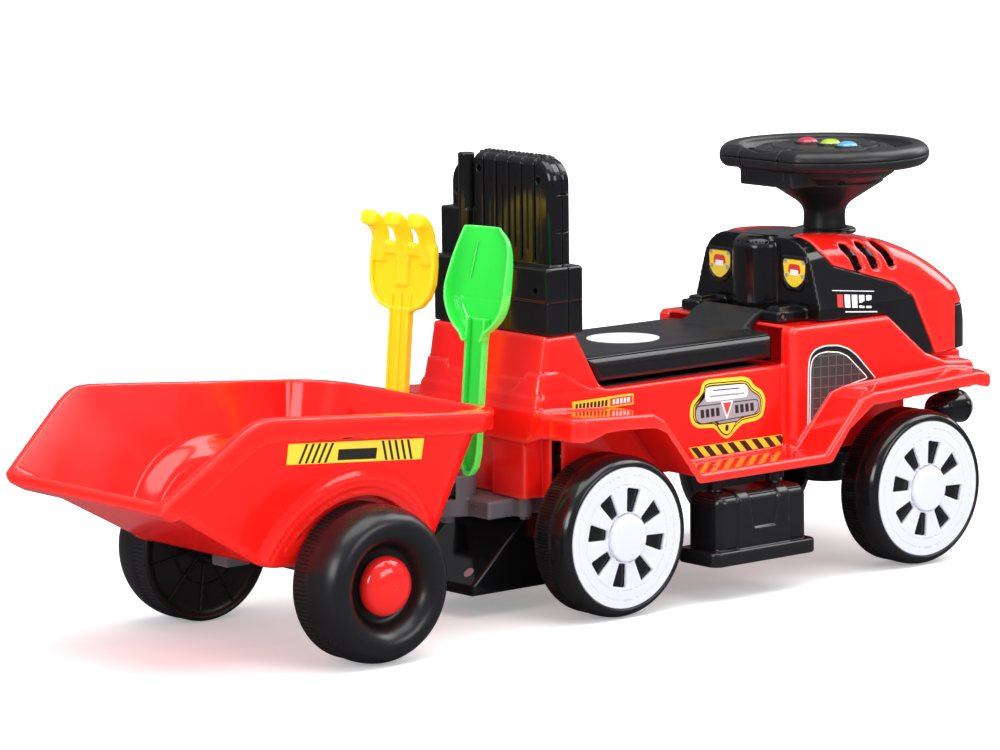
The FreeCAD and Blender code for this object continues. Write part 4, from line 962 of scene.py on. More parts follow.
def zigzag():
    """Row of short bars laid in a zigzag across the sill."""
    bars = []
    for k in range(15):
        shift, turn = (2.2, 62) if k % 2 else (-2.2, 118)
        place = Matrix.Translation((265 + shift, -38.5 + 5.5 * k, 234.4))
        place = place @ Matrix.Rotation(math.radians(turn), 4, "Z")
        bars.append(moved(box(-3.4, 3.4, -0.9, 0.9, -0.8, 0.8, 0.4), place))
    return join(0, *bars)


def build_console():
    outer = bonnet(0.0)
    spine_bore = cylinder("z", 286, 0, 226, 299, 24)
    spine = cut(0, cylinder("z", 286, 0, 230.6, 304.5, 27, 12.0), spine_bore)
    ears = mirrored(join(1.2, box(244.5, 285, 42.5, 67, 230.6, 241.0, 2.4),
                         box(251, 272, 46, 63.5, 238, 244.6, 2.0)))
    shield = mirrored(prism("x", [(SHIELD_Y + y, z) for y, z in SHIELD_RIM],
                            278.9, 284.1, 2.0, 1.0))
    pocket = mirrored(common(0, outline("x", [(SHIELD_Y + y, z) for y, z in SHIELD_POCKET], 1.5),
                             below("x", 280.1)))

    field = join(0, cut(1.6, outer, grown(console_line, 0.1)),
                 common(2.0, outer, grown(collar(33.0), -0.4)))
    field = common(1.2, field, grown(over_body, -0.3))
    field = cut(0, field, common(1.0, bonnet(NOSE_WALL), above("x", 283.4)))
    field = join(4.0, field, common(0, spine, below("x", 284.5)))
    # the bore's depth is held to 1 mm
    field = cut(0, field, lambda x, y, z: np.maximum(spine_bore(x, y, z), -1.0))
    field = join(3.0, field, ears)
    field = join(2.0, field, box(262, 285, -66, 66, 230.6, 234.0, 1.0))
    field = join(0.6, field, zigzag())
    field = join(1.0, field, shield)
    field = cut(0, field, pocket)
    field = join(1.2, field, turned("z", SHAFT_X, 0, COLLAR_RIM, 0.6))
    field = cut(0, field, cylinder("y", HINGE_X, HINGE_Z, -70, 70, HINGE_RADIUS),
                cylinder("z", SHAFT_X, 0, 280, 320, 9.1))
    skin("dash_console_shell", field, (243, -88, 182), (442, 88, 309), 1.9,
         BLACK, "black_gloss", "truck", "dash_console")


build_hood()
build_grille()
build_console()

# ============================================================ backrest shells
SEAM_X = -16.0
SEAM_GAP = 0.3
# Screws: y, z, rear end of the post, front end of the post.
BACK_SCREWS = [(-63, 287, -39, -1.6), (63, 287, -39, -1.6), (-54, 382.5, -27, -7),
               (27.5, 387.5, -27, -7), (63, 364, -24, -7)]
GROOVES_Y = [21.4, 3.8, -13.8, -31.3, -48.9]
FINE_GROOVES_Y = [30.2, 12.8, -4.8, -22.3, -39.8, -57.2]


def plate_outline(inward=0.0):
    """Large panel, (y, z)."""
    return ([(-72 + inward, 296)] + fan(-50, 380, 22 - inward, 180, 90)
            + fan(29.0, 392, 10 - inward, 90, 0, 5) + [(39.0 - inward, 296)])


def wing_outline(inward=0.0):
    """Lower panel behind it that reaches the left edge, (y, z)."""
    return ([(-60, 296), (-60, 380)] + fan(50, 372, 22 - inward, 90, 0)
            + [(72 - inward, 296)])


def build_back():
    plate = prism("x", plate_outline(), -29, -5, 0.4, 7.0)
    wing = prism("x", wing_outline(), -25, -6, 0.4, 4.0)
    foot = join(0, box(-41, 1, -80, 80, 276.0, 308, 3.6),
                box(-40.3, 0.3, -79.2, 79.2, 248, 277.5, 1.2))
    inner = join(0, prism("x", plate_outline(3.6), -25.0, -8.4, 0.4, 3.0),
                 prism("x", wing_outline(3.4), -21.6, -9.4, 0.4, 2.0),
                 box(-37.4, -2.6, -76.4, 76.4, 251.6, 304.4, 3.0))
    # two staggered rows of teeth along the top
    teeth = [box(-21.2, -10.2, -56, 36, 396, 402.8, 1.0)]
    for y in np.arange(-54, 33, 5.8):
        teeth.append(box(-20.0, -16.8, y, y + 3.4, 399, 404.2, 0.5))
        teeth.append(box(-14.8, -11.4, y + 2.4, y + 5.8, 399, 404.0, 0.5))
    whole = join(0.8, plate, wing)
    whole = join(1.6, whole, foot)
    whole = join(1.0, whole, box(-34.5, -18, 37.5, 76, 300, 351.2, 2.2))
    whole = join(0.8, whole, cylinder("z", -29, 45, 300, 400.5, 7.4, 1.4))
    whole = join(0.6, whole, join(0, *teeth))
    tabs = mirrored(box(-28, -15.9, 40, 60, 241, 252, 0.6))
    notches = mirrored(join(0, *[box(-23, -9, 70.4, 73.6, z, z + 1.5, 0.3)
                                 for z in (337.2, 370.2)]))

    def groove(y, half, depth, *limits):
        return common(0, cut(0, slab("y", y, half), grown(plate, -depth)), *limits)

    def grooved(face):
        return cut(1.5, whole, *[groove(y, 0.8, 1.9, face, above("z", 311))
                                 for y in GROOVES_Y])

    def hollowed(field, posts, holes):
        field = join(0.6, cut(0, field, inner), join(0, *posts))
        return cut(0.4, cut(0, field, *holes), notches)

    rear_face = below("x", -17.5)
    rear = cut(0.3, grooved(rear_face), *[
        groove(y, 0.45, 0.9, rear_face, above("z", 322), below("z", 375.5))
        for y in FINE_GROOVES_Y])
    rear = hollowed(
        rear, [cylinder("x", y, z, start, SEAM_X, 4.8) for y, z, start, _ in BACK_SCREWS],
        [cylinder("x", y, z, -60, -20.2, 3.0) for y, z, _, _ in BACK_SCREWS])
    rear = common(1.3, rear, below("x", SEAM_X - SEAM_GAP))
    rear = join(0.5, rear, tabs)
    skin("backrest_rear_half", rear, (-43, -82, 240), (-14, 82, 406), 1.15,
         BLACK, "black_gloss", "truck", "backrest_rear_shell")

    front = hollowed(
        grooved(above("x", -14.0)),
        [cylinder("x", y, z, SEAM_X, end, 4.8) for y, z, _, end in BACK_SCREWS],
        [cylinder("x", y, z, SEAM_X - 1, SEAM_X + 6, 1.5) for y, z, _, _ in BACK_SCREWS])
    front = common(1.3, front, above("x", SEAM_X + SEAM_GAP))
    front = cut(0, front, tabs)
    skin("backrest_front_half", front, (-18, -82, 246), (3, 82, 406), 1.3,
         BLACK, "black_gloss", "truck", "backrest_front_shell")


build_back()

# ============================================================ step boxes
STEP_SIDE = [(107, 40), (107, 86), (109, 91.5), (114.5, 95.5), (209.5, 95.5), (215, 91.5),
             (217, 86), (217, 40)]                                              # (x, z)
STEP_PLAN = [(107, 60), (217, 60), (217, 138), (107, 138)]                      # (x, y)
STEP_RIM = [(97.5, 89), (223, 89), (223, 143), (97.5, 143)]                     # (x, y)
STEP_BORE = [(111, 96), (213, 96), (213, 134), (111, 134)]                      # (x, y)
STRAP_SIDE = [(129, 40), (130.5, 97), (143, 97), (149, 63.5), (173, 63.5), (179, 97),
              (191, 97), (192.5, 40)]                                           # (x, z)
LUG_X, LUG_Y = (125, 195), 112
STRAP_RAISE = 2.3


def build_step(side, name):
    tray = common(1.0, prism("y", STEP_SIDE, 92, 138, 5.0, 11.0),
                  prism("z", STEP_PLAN, 20, 110, 12.0, 0))
    # moulded harness: two posts that wrap over the top edge and a plate between them
    raised = grown(tray, STRAP_RAISE)
    strap_tops = join(0, *[box(x, x + 12.5, 100, 140.2, 80, 98.0, 5.0)
                           for x in (130.2, 178.8)])
    harness = join(0, common(1.0, prism("y", STRAP_SIDE, 120, 140.2, 2.2, 3.0), raised),
                   common(1.0, strap_tops, raised))
    field = join(0.8, tray, harness)
    field = join(1.2, field, prism("z", STEP_RIM, 32, 45.5, 10.0, 2.4))
    field = join(2.0, field,
                 join(0, *[cylinder("z", x, LUG_Y, 86, 118, 7.0, 1.0) for x in LUG_X]))
    field = common(0.6, field, above("z", 32.2))
    field = cut(0, field, prism("z", STEP_BORE, 10, 91.5, 8.0, 0),
                *[cylinder("z", x, LUG_Y, 84, 125, 2.0) for x in LUG_X])
    skin_on_side("step_block_" + name, field, side, (95, 87, 30), (225, 145, 120), 1.5,
                 STEP_BLACK, "black_satin", "truck", "step_box_" + name)


for side, side_name in SIDES:
    build_step(side, side_name)

# ============================================================ anti-tip foot and tow bracket
FOOT_OUTER = [(-103, 20), (-103, 30), (-38, 87.6), (-12, 87.6), (-12, 20)]            # (x, z)
FOOT_INNER = [(-99.6, 0), (-99.6, 28.4), (-36.6, 84.2), (-15.4, 84.2), (-15.4, 0)]    # (x, z)


def build_foot():
    outer = prism("y", FOOT_OUTER, -48, 48, 2.0, 3.5)
    ribs = mirrored(box(-98, -14, 13.8, 16.2, 24, 84))
    field = cut(0.8, outer, prism("y", FOOT_INNER, -44.6, 44.6, 1.0, 2.0))
    field = join(0.8, field, common(0, ribs, grown(outer, -1.0)))
    field = cut(0, field, cylinder("z", HITCH_X, 0, 60, 90, 7.5))
    field = common(0.5, field, above("z", 20.1))
    skin("foot_wedge", field, (-106, -51, 18), (-10, 51, 90), 1.7,
         BLACK, "black_gloss", "truck", "anti_tip_foot")


def build_bracket():
    web = prism("z", [(HITCH_X, -26), (-60, -40), (-60, 40), (HITCH_X, 26)],
                88, 104, 1.0, 1.0)
    arms = join(0, box(-60, -47, -60, 60, 88, 104, 2.0),
                mirrored(cylinder("z", BRACKET_SCREW_X, BRACKET_SCREW_Y, 88, 104, 6.5, 1.0)))
    # the slot in the post opens towards the trailer
    slot = join(0, cylinder("z", HITCH_X, 0, 104.2, 118, 19.6, 0.6),
                prism("z", [(HITCH_X, -19.4), (-128, -33), (-128, 33), (HITCH_X, 19.4)],
                      104.2, 118, 0, 0.6))
    field = cut(0.8, box(-90, -16, -55, 55, 88, 104, 2.5),
                box(-86, -20, -51, 51, 80, 100.4, 1.5))
    field = join(1.5, field, join(1.5, web, arms),
                 cylinder("z", HITCH_X, 0, 88, 125, 26, 2.4))
    field = cut(1.0, field, slot)
    field = cut(0, field, cylinder("z", HITCH_X, 0, 70, 140, 4.0),
                mirrored(cylinder("z", BRACKET_SCREW_X, BRACKET_SCREW_Y, 80, 110, 2.2)))
    skin("tow_bracket_body", field, (-120, -69, 86), (-14, 69, 128), 1.5,
         GREY, "grey_plastic", "truck", "tow_bracket")


build_foot()
build_bracket()

# ============================================================ head lamps
def build_lamp_housing(y, name):
    def ball(x, y_, z):
        return np.sqrt((x - 449) ** 2 + (y_ - y) ** 2 + (z - LAMP_Z) ** 2) - 15

    field = join(2.0, cylinder("x", y, LAMP_Z, 450, 476, 15, 1.6), ball)
    field = join(2.5, field, box(452, 470, y - 5, y + 5, 138, 165, 1.2))
    field = join(1.0, field, cylinder("x", y, LAMP_Z, 472.5, 476.4, 15.6, 1.0))
    field = cut(0, field, cylinder("x", y, LAMP_Z, 470, 490, 12.5),
                cylinder("x", y, LAMP_Z, 452, 472, 9))
    skin("headlamp_housing_" + name, field, (432, y - 17, 112), (479, y + 17, 166.2), 1.2,
         BLACK, "black_gloss", "truck", "headlamp_housings")


def build_lamp_lens(y, name):
    radius, base, dome = 12.3, 479, 8.0
    profile = [(0, 471), (12.2, 471), (radius, base)]
    for t in np.linspace(0.05, math.pi / 2 - 0.02, 10):
        profile.append((radius * math.cos(t), base + dome * math.sin(t)))
    profile.append((0, base + dome))

    def flutes(r, station, angle):
        depth = 0.02 * (0.5 + 0.5 * np.cos(12 * angle))
        return r * (1 - depth * np.clip((station - 478) / 8, 0, 1))

    lathe("headlamp_lens_" + name, "x", (y, LAMP_Z), profile, 48,
          LENS, "lens_clear", "truck", "headlamp_lenses", relief=flutes)


for side, side_name in SIDES:
    build_lamp_housing(side * LAMP_Y, side_name)
    build_lamp_lens(side * LAMP_Y, side_name)

# ============================================================ trailer tub
# Side profile (x, z) of the rim band: upper line rear to front, lower line front to rear.
RIM_UPPER = rounded([(-500, 141.0), (-482, 155.6), (-412, 211), (-397, 219.3), (-380, 219.6),
                     (-168, 201.6), (-140, 199.3), (-84, 190), (-70, 187.6)], 16, 5, False)
RIM_LOWER = rounded([(-70, 168.6), (-84, 171), (-140, 179.5), (-168, 181.5), (-372, 198.5),
                     (-390, 196), (-402, 188), (-466, 138.5), (-487, 118)], 12, 5, False)
# Plan (x, y) of the shelf at the front end.
SHELF = rounded([(-170, -118), (-134, -112), (-112, -92), (-98, -66), (-90, -36), (-88, 0),
                 (-90, 36), (-98, 66), (-112, 92), (-134, 112), (-170, 118)], 13, 4)
ARCH_BULGE = 5.0    # how far the wall swells over a wheel


def tub(outward):
    """Box with sloping walls and rounded front corners, offset outwards."""
    def field(x, y, z):
        t = z - 84.0
        rear_x = -357.0 - 1.736 * t
        front_x = -180.0 + 0.47 * t
        share = (front_x - x) / np.maximum(front_x - rear_x, 1)
        rear_half = 87.0 + 0.31 * t
        front_half = 97.0 + 0.245 * t
        half = front_half + (rear_half - front_half) * np.clip(share, 0, 1.2)
        side = (np.abs(y) - half) * 0.955 - outward
        front = (x - front_x) * 0.905 - outward
        rear = (rear_x - x) * 0.4992 - outward
        bottom = (84.0 - z) - outward
        d = round_edge(side, front, np.clip(16.0 + 0.25 * t, 6, 60))
        d = round_edge(d, rear, 6.0)
        return round_edge(d, bottom, 7.0)
    return field


def axle_distance(x, z):
    return np.hypot(x - TRAILER_X, z - TRAILER_Z)


def arch_rise(x, z, reach, span):
    """Smooth step from 0 at `reach` from the axle to 1, `span` nearer."""
    t = np.clip((reach - axle_distance(x, z)) / span, 0, 1)
    return t * t * (3 - 2 * t)


def arch_bulge(x, z):
    return ARCH_BULGE * arch_rise(x, z, 99, 13.0)


def tub_outer(x, y, z):
    """Tub with a stepped swelling over each wheel."""
    bulge = arch_bulge(x, z) + np.clip((84.5 - axle_distance(x, z)) / 2.0, 0, 1)
    return tub(0.0)(x, y, z) - bulge * np.clip((np.abs(y) - 80) / 14.0, 0, 1)


def tub_inner(x, y, z):
    hump = 15.0 * arch_rise(x, z, 100, 22.0)
    return tub(-3.2)(x, y, z) + hump * np.clip((np.abs(y) - 62) / 22.0, 0, 1) * 0.6


def tool_place(x, y, turn):
    """Tools lean 5 degrees and are turned about their handles."""
    return (Matrix.Translation((x, y, 194)) @ Matrix.Rotation(math.radians(5.0), 4, "Y")
            @ Matrix.Rotation(math.radians(turn), 4, "Z"))


RAKE_PLACE = tool_place(-104.0, 54.0, -72.0)
SHOVEL_PLACE = tool_place(-105.0, -54.0, -68.0)


def build_tub():
    under_rim = prism("y", RIM_UPPER + [(-70, 40), (-520, 40), (-520, 141)], -175, 175)
    rim_band = prism("y", RIM_UPPER + RIM_LOWER, -175, 175)
    below_flange = grown(under_rim, -3.2)
    # the rim band is hollow beneath: only the lip and the top flange stay
    rim = common(4.0, tub(7.0), rim_band)
    rim = cut(1.0, rim, common(0, tub(4.0), below_flange, above("x", -396.0)))
    shelf_plan = prism("z", SHELF, 150, 230)
    shelf = common(4.0, shelf_plan, rim_band)
    shelf = cut(1.0, shelf, common(0, grown(shelf_plan, -3.2), below_flange))
    shelf = cut(0, shelf, grown(tub_outer, -1.2))
    well = mirrored(cylinder("y", TRAILER_X, TRAILER_Z, 103.2, 170, 72.0))
    well_wall = mirrored(cylinder("y", TRAILER_X, TRAILER_Z, 99.6, 170, 75.4, 2.0))

    field = join(2.0, common(2.0, tub_outer, under_rim), join(3.0, rim, shelf))
    field = cut(2.4, field, tub_inner)
    field = join(3.0, field, common(0, well_wall, tub_outer))
    field = cut(1.2, field, well)
    # sockets for the tool handles
    field = cut(0, field, moved(box(-11, 11, -5.5, 5.5, -60, 60, 0.8), RAKE_PLACE),
                moved(box(-10, 10, -5.5, 5.5, -60, 60, 0.8), SHOVEL_PLACE))
    field = common(1.5, field, box(-481.2, -60, -200, 200, 40, 260, 0))
    skin("trailer_tub_shell", field, (-484, -148, 78), (-82, 148, 224), 2.1,
         RED, "red_gloss", "trailer", "trailer_tub")


build_tub()

# ============================================================ rake and shovel
# Drawn with the open face towards +y, then flipped to local -y. Outlines are (x, z).
RAKE_HEAD = [(-11, 70), (-22, 74), (-30, 83), (-34, 96), (-34.5, 112), (-33, 130), (33, 130),
             (34.5, 112), (34, 96), (30, 83), (22, 74), (11, 70)]
RAKE_TINE = [(-5, 112), (-5, 130), (-2.6, 140), (3.0, 149.4), (11, 155.8), (19, 158.6),
             (27.4, 159.0), (27.6, 145.6), (19, 144.0), (13, 140.8), (9.0, 135.5), (6.4, 128),
             (4.6, 118), (4, 112)]      # (y, z)
TINE_PITCH = 24.5


def build_rake():
    channels = join(0, box(-7.8, -2.2, 3.2, 9, -70, 74, 0.8), box(2.2, 7.8, 3.2, 9, -70, 74, 0.8))
    dish = grown(prism("y", RAKE_HEAD, -30, 30, 5.0, 0), -3.6)
    tine_side = rounded(RAKE_TINE, 4, 3)
    tines = join(1.0, *[prism("x", tine_side, x - 8.2, x + 8.2, 0.0, 6.0)
                        for x in (-TINE_PITCH, 0, TINE_PITCH)])
    gaps = join(0, *[
        prism("y", [(x - 2.4, 134), (x, 129.5), (x + 2.4, 134), (x + 3.2, 180), (x - 3.2, 180)],
              -40, 40, 1.0) for x in (-12.2, 12.2)])
    neck_ribs = join(0, *[box(x - 0.8, x + 0.8, -3, 3.6, 72, 86, 0.4) for x in (-9.5, 0, 9.5)])

    field = join(3.0, box(-10.5, 10.5, -5, 5, -62, 84, 1.6),
                 prism("y", RAKE_HEAD, -5, 5, 5.0, 2.2))
    field = cut(1.2, field, common(0, dish, above("y", 0.8)))
    field = join(2.0, field, box(-33.4, 33.4, -4.8, 4.6, 120, 131, 2.4),
                 box(-6.2, 6.2, -5, 4.6, 92, 140, 3.0))
    field = join(2.4, field, tines)
    field = cut(1.6, field, gaps)
    field = cut(0.8, field, channels)
    field = join(0.6, field, neck_ribs)
    skin("rake_body", on_side(field, -1), (-36, -30, -64), (36, 8, 162), 1.15,
         YELLOW, "rake_yellow", "rake_tool", "rake", RAKE_PLACE)


SHOVEL_HANDLE = [(-9.6, 76), (-9.4, -44), (-7.6, -56), (-3.4, -63), (0, -64.4), (3.4, -63),
                 (7.6, -56), (9.4, -44), (9.6, 76)]
SHOVEL_CHANNEL = [(-7.4, 80), (-7.2, -42), (-5.6, -53), (-2.4, -59.4), (2.4, -59.4),
                  (5.6, -53), (7.2, -42), (7.4, 80)]
SHOVEL_SCOOP = [(-10, 54), (-12, 60), (-21.7, 69.5), (-28.5, 84), (-30.6, 100), (-25.4, 128),
                (-18.8, 155), (-14, 184), (10, 184), (15.4, 154.6), (25.6, 146.5), (30.2, 134),
                (31.4, 117), (30.8, 92), (26.4, 76), (17, 65), (11, 60), (10, 54)]
SHOVEL_WALLS = [(11.5, 40), (11.5, 92), (10.0, 110), (7.0, 128), (3.4, 143), (0.4, 152.0),
                (-0.6, 154.6), (-30, 154.6), (-30, 40)]      # (y, z), falls away to the tip
SHOVEL_RIDGE = [(-8.2, 141), (-6.8, 141), (-12.4, 108), (-13.6, 108)]


def build_shovel():
    scoop = prism("y", rounded(SHOVEL_SCOOP, 7, 4), -9.6, 60, 0.0, 10.5)
    sheet = cut(0, scoop, grown(scoop, -2.3))
    walls = common(1.0, sheet, prism("x", SHOVEL_WALLS, -60, 60))
    walls = common(0.8, walls, below("z", 154.2))
    handle = common(0, prism("y", SHOVEL_HANDLE, -5.2, 5.2, 1.0, 1.2), below("z", 74))
    channel = common(0, prism("y", SHOVEL_CHANNEL, -2.8, 20, 0.8, 0), below("z", 80))
    field = cut(0.8, join(2.4, walls, handle), channel)
    # the back of the scoop closes over the channel above the neck
    field = join(1.2, field, common(0, sheet, below("y", -3.0), above("z", 66), below("z", 90)))
    field = join(0.5, field, common(0, prism("y", SHOVEL_RIDGE, -8, -5.6, 0), scoop))
    skin("shovel_body", on_side(field, -1), (-35, -14, -67), (35, 11, 157), 1.05,
         GREEN, "shovel_green", "shovel_tool", "shovel", SHOVEL_PLACE)


build_rake()
build_shovel()

# ============================================================ wheels
# Wheel profiles are (radius, distance outboard of the wheel's inner face).
BORE = 4.06


def tread_line(radius, start, end):
    """Stations about 1.8 mm apart across the tread."""
    steps = int((end - start) / 1.8)
    return [(radius, start + (end - start) * i / steps) for i in range(steps + 1)]


def tread_ribs(count, depth, inner_y, start, lead, end, least_radius):
    """Relief of cross ribs between two stations, fading out at both."""
    def relief(radius, station, angle):
        gap = np.clip((0.5 + 0.5 * np.cos(count * angle) - 0.30) / 0.4, 0, 1)
        across = np.clip((station - (inner_y + start)) / lead, 0, 1)
        across = across * np.clip((inner_y + end - station) / 1.4, 0, 1)
        return radius - depth * across * (radius > least_radius) * gap
    return relief


TRUCK_TYRE = (
    [(BORE, -3.6), (10, -3.6), (10, 31), (59, 34.4), (65.4, 30), (66.5, 0.9), (68, 0.1),
     (70.4, 0.1), (71.5, 1.0)]
    + tread_line(71.6, 2.0, 20.5)[1:]
    + [(71.75, 21.2), (72.0, 22.0), (72.0, 27.0), (71.9, 30), (71.4, 33.6), (70.5, 36.6),
       (69.2, 39.2), (67.6, 41.2), (66.0, 42.3), (64.6, 42.9), (63.8, 42.7), (63.3, 42.0),
       (63.3, 38.2), (22, 38.2), (22, 36.2), (13.5, 34.6), (BORE, 34.6)])


def truck_wheel(name, side, x, body, replaced):
    ribs = 150
    relief = tread_ribs(ribs, depth=0.75, inner_y=WHEEL_INNER_Y, start=1.6, lead=1.5, end=21.4,
                        least_radius=69)
    lathe(name, "y", (x, WHEEL_RADIUS), shifted(TRUCK_TYRE, WHEEL_INNER_Y), ribs * 6,
          TYRE_GLOSS, "tyre_black", body, replaced, relief=relief, side=side, split=55)


def wheel_cover(name, side, x, body, replaced):
    """Disc with a domed hub, ring grooves and eight tapered pockets."""
    back, face = WHEEL_INNER_Y + 38.4, WHEEL_INNER_Y + 42.4

    def about_axle(points, corner=0.0):
        return turned("y", x, WHEEL_RADIUS, points, corner)

    def groove(inner, outer, depth):
        far = WHEEL_INNER_Y + 50
        return about_axle([(inner, face - depth), (outer, face - depth), (outer, far),
                           (inner, far)])

    pockets = []
    for i in range(8):
        a = math.radians(45 * i + 33)
        points = [(x + r * math.cos(a) - h * math.sin(a),
                   WHEEL_RADIUS + r * math.sin(a) + h * math.cos(a))
                  for r, h in ((22.8, 4.2), (43.8, 7.9), (43.8, -7.9), (22.8, -4.2))]
        pockets.append(prism("y", points, 120, 160, 1.6))
    pocket = join(0, *pockets)

    def bevelled_pocket(x_, y, z):
        return pocket(x_, y, z) - np.clip(1.0 - (face - y) * 0.9, 0, 1.0)

    field = join(1.0, about_axle([(0, back), (62.7, back), (62.7, face), (0, face)], 0.9),
                 about_axle([(0, back), (20.8, back), (20.6, 138.2), (19.6, 139.5),
                             (17.6, 140.3), (13, 140.75), (0, 140.9)], 0.5))
    field = cut(0.3, field, groove(46.4, 47.3, 0.4), groove(55.0, 55.8, 0.35))
    field = cut(0.4, field, groove(21.0, 22.0, 1.0))
    field = cut(0, field,
                about_axle([(0, 130), (16.5, 130), (16.5, 136.4), (14, 137.5), (0, 137.5)]))
    field = cut(0.4, field, bevelled_pocket)
    skin_on_side(name, field, side, (x - 64.5, 131.5, 7.5), (x + 64.5, 142.2, 136.5), 1.25,
                 WHITE, "cover_white", body, replaced)


for side, side_name in SIDES:
    for axle_x, end_name in ((0.0, "rear"), (FRONT_AXLE_X, "front")):
        body = end_name + "_" + side_name
        truck_wheel("truck_wheel_" + body, side, axle_x, body,
                    "%s_wheel_%s" % (end_name, side_name))
        wheel_cover("truck_wheel_disc_" + body, side, axle_x, body,
                    "%s_wheel_cover_%s" % (end_name, side_name))

TRAILER_TYRE = (
    [(BORE, -22.4), (9, -22.4), (9, 3)]
    + [(radius, 3.0) for radius in (12, 18, 26, 34, 42, 50, 56)]
    + [(60, 2.6), (62, 1.0), (63.5, 0.2), (65.2, 0.2), (66.4, 1.0), (67.0, 2.2)]
    + tread_line(67.2, 3.0, 19.0)
    + smooth_profile([(67.4, 20.6), (67.7, 24), (67.3, 32), (65.9, 39.5), (63.2, 45.8),
                      (59.4, 50.6), (54.4, 53.4), (49.2, 53.8), (44.4, 52.0), (40.2, 48.6),
                      (37.0, 44.2), (34.6, 39.8), (32.2, 36.6), (29.0, 35.4)], 3)
    + [(26, 35.4), (BORE, 35.4)])
# Axle cap, (radius, y).
CAP = (
    [(4.0, 141.4), (20, 141.4)]
    + smooth_profile([(23.4, 141.6), (25.0, 143.2), (25.7, 146.0), (25.2, 149.2),
                      (23.0, 153.0), (19.0, 156.2), (13.6, 158.6), (7.0, 159.8),
                      (0.6, 160.0)], 4)
    + [(0.6, 150.0), (4.0, 150.0)])


def trailer_wheel(name, side, body, replaced):
    ribs = 110
    relief = tread_ribs(ribs, depth=0.9, inner_y=TRAILER_INNER_Y, start=2.4, lead=1.4, end=19.4,
                        least_radius=64)
    lathe(name, "y", (TRAILER_X, TRAILER_Z), shifted(TRAILER_TYRE, TRAILER_INNER_Y), ribs * 6,
          TYRE_SATIN, "tyre_matt", body, replaced, relief=relief, side=side, split=55)


def wheel_web(name, side, body):
    """Stiffening ribs and rings on the inboard face of a trailer wheel."""
    parts = []
    for i in range(10):
        a = math.radians(36 * i + 10)
        c, s = math.cos(a), math.sin(a)
        points = [(TRAILER_X + r * c - h * s, TRAILER_Z + r * s + h * c)
                  for r, h in ((9, 1.2), (60.5, 0.8), (60.5, -0.8), (9, -1.2))]
        parts.append(prism("y", points, 106.0, 108.6))
    parts.append(turned("y", TRAILER_X, TRAILER_Z,
                        [(9.2, 98), (14, 98), (16, 108.6), (9.2, 108.6)], 0.4))
    parts.append(turned("y", TRAILER_X, TRAILER_Z,
                        [(33, 106.6), (34.6, 106.6), (34.6, 108.6), (33, 108.6)]))
    skin_on_side(name, join(0.6, *parts), side, (-340, 97, 5), (-216, 109, 131), 1.2,
                 TYRE_SATIN, "tyre_matt", body)


for side, side_name in SIDES:
    trailer_wheel("trailer_wheel_body_" + side_name, side, "trailer_" + side_name,
                  "trailer_wheel_" + side_name)
    wheel_web("trailer_wheel_ribs_" + side_name, side, "trailer_" + side_name)
    lathe("axle_dome_" + side_name, "y", (TRAILER_X, TRAILER_Z), CAP, 112,
          DOME_RED, "red_gloss", "trailer", "trailer_axle_caps", side=side, split=60)

# ============================================================ steering wheel, two halves
RIM_RADIUS, CHORD_X = 87.5, -74.0   # rim centre line, and its flat chord on the -x side
CHORD_HALF = math.sqrt(RIM_RADIUS ** 2 - 74.0 ** 2)
RIM_THICKNESS = 10.5                # radius of the rim's section
RIM_GAP = 0.22                      # from the joint plane to each half
# Bowl profiles, (radius, z).
BOWL = [(0, 345.4), (38, 345.4), (54, 348.8), (65, 356), (68.3, 363), (68.3, 374), (66.8, 378),
        (56, 381.2), (0, 381.2)]
BOWL_INNER = [(0, 348.6), (36, 348.6), (53, 352.4), (62, 358), (65, 364), (65, 374.5),
              (55, 377.6), (0, 377.6)]
# Button plate outline, (x from the shaft, y).
BUTTON_PLATE = [(-14, -42), (19, -42), (25, -22), (27, 0), (25, 22), (19, 42), (-14, 42),
                (-20, 22), (-21, 0), (-20, -22)]
# Buttons: name, x, y, material.
BUTTONS = [("red", SHAFT_X + 4, 27.0, BUTTON_RED), ("green", SHAFT_X + 8, 0, BUTTON_GREEN),
           ("blue", SHAFT_X + 4, -27.0, BUTTON_BLUE)]


def rim(x, y, z):
    x = x - SHAFT_X
    y = np.abs(y)
    end = np.hypot(x - CHORD_X, y - CHORD_HALF)
    chord = np.where(y < CHORD_HALF, np.abs(x - CHORD_X), end)
    on_arc = np.arctan2(y, x) <= math.atan2(CHORD_HALF, CHORD_X)
    arc = np.where(on_arc, np.abs(np.hypot(x, y) - RIM_RADIUS), end)
    return np.hypot(smooth_min(arc, chord, 5.0), z - RIM_Z) - RIM_THICKNESS


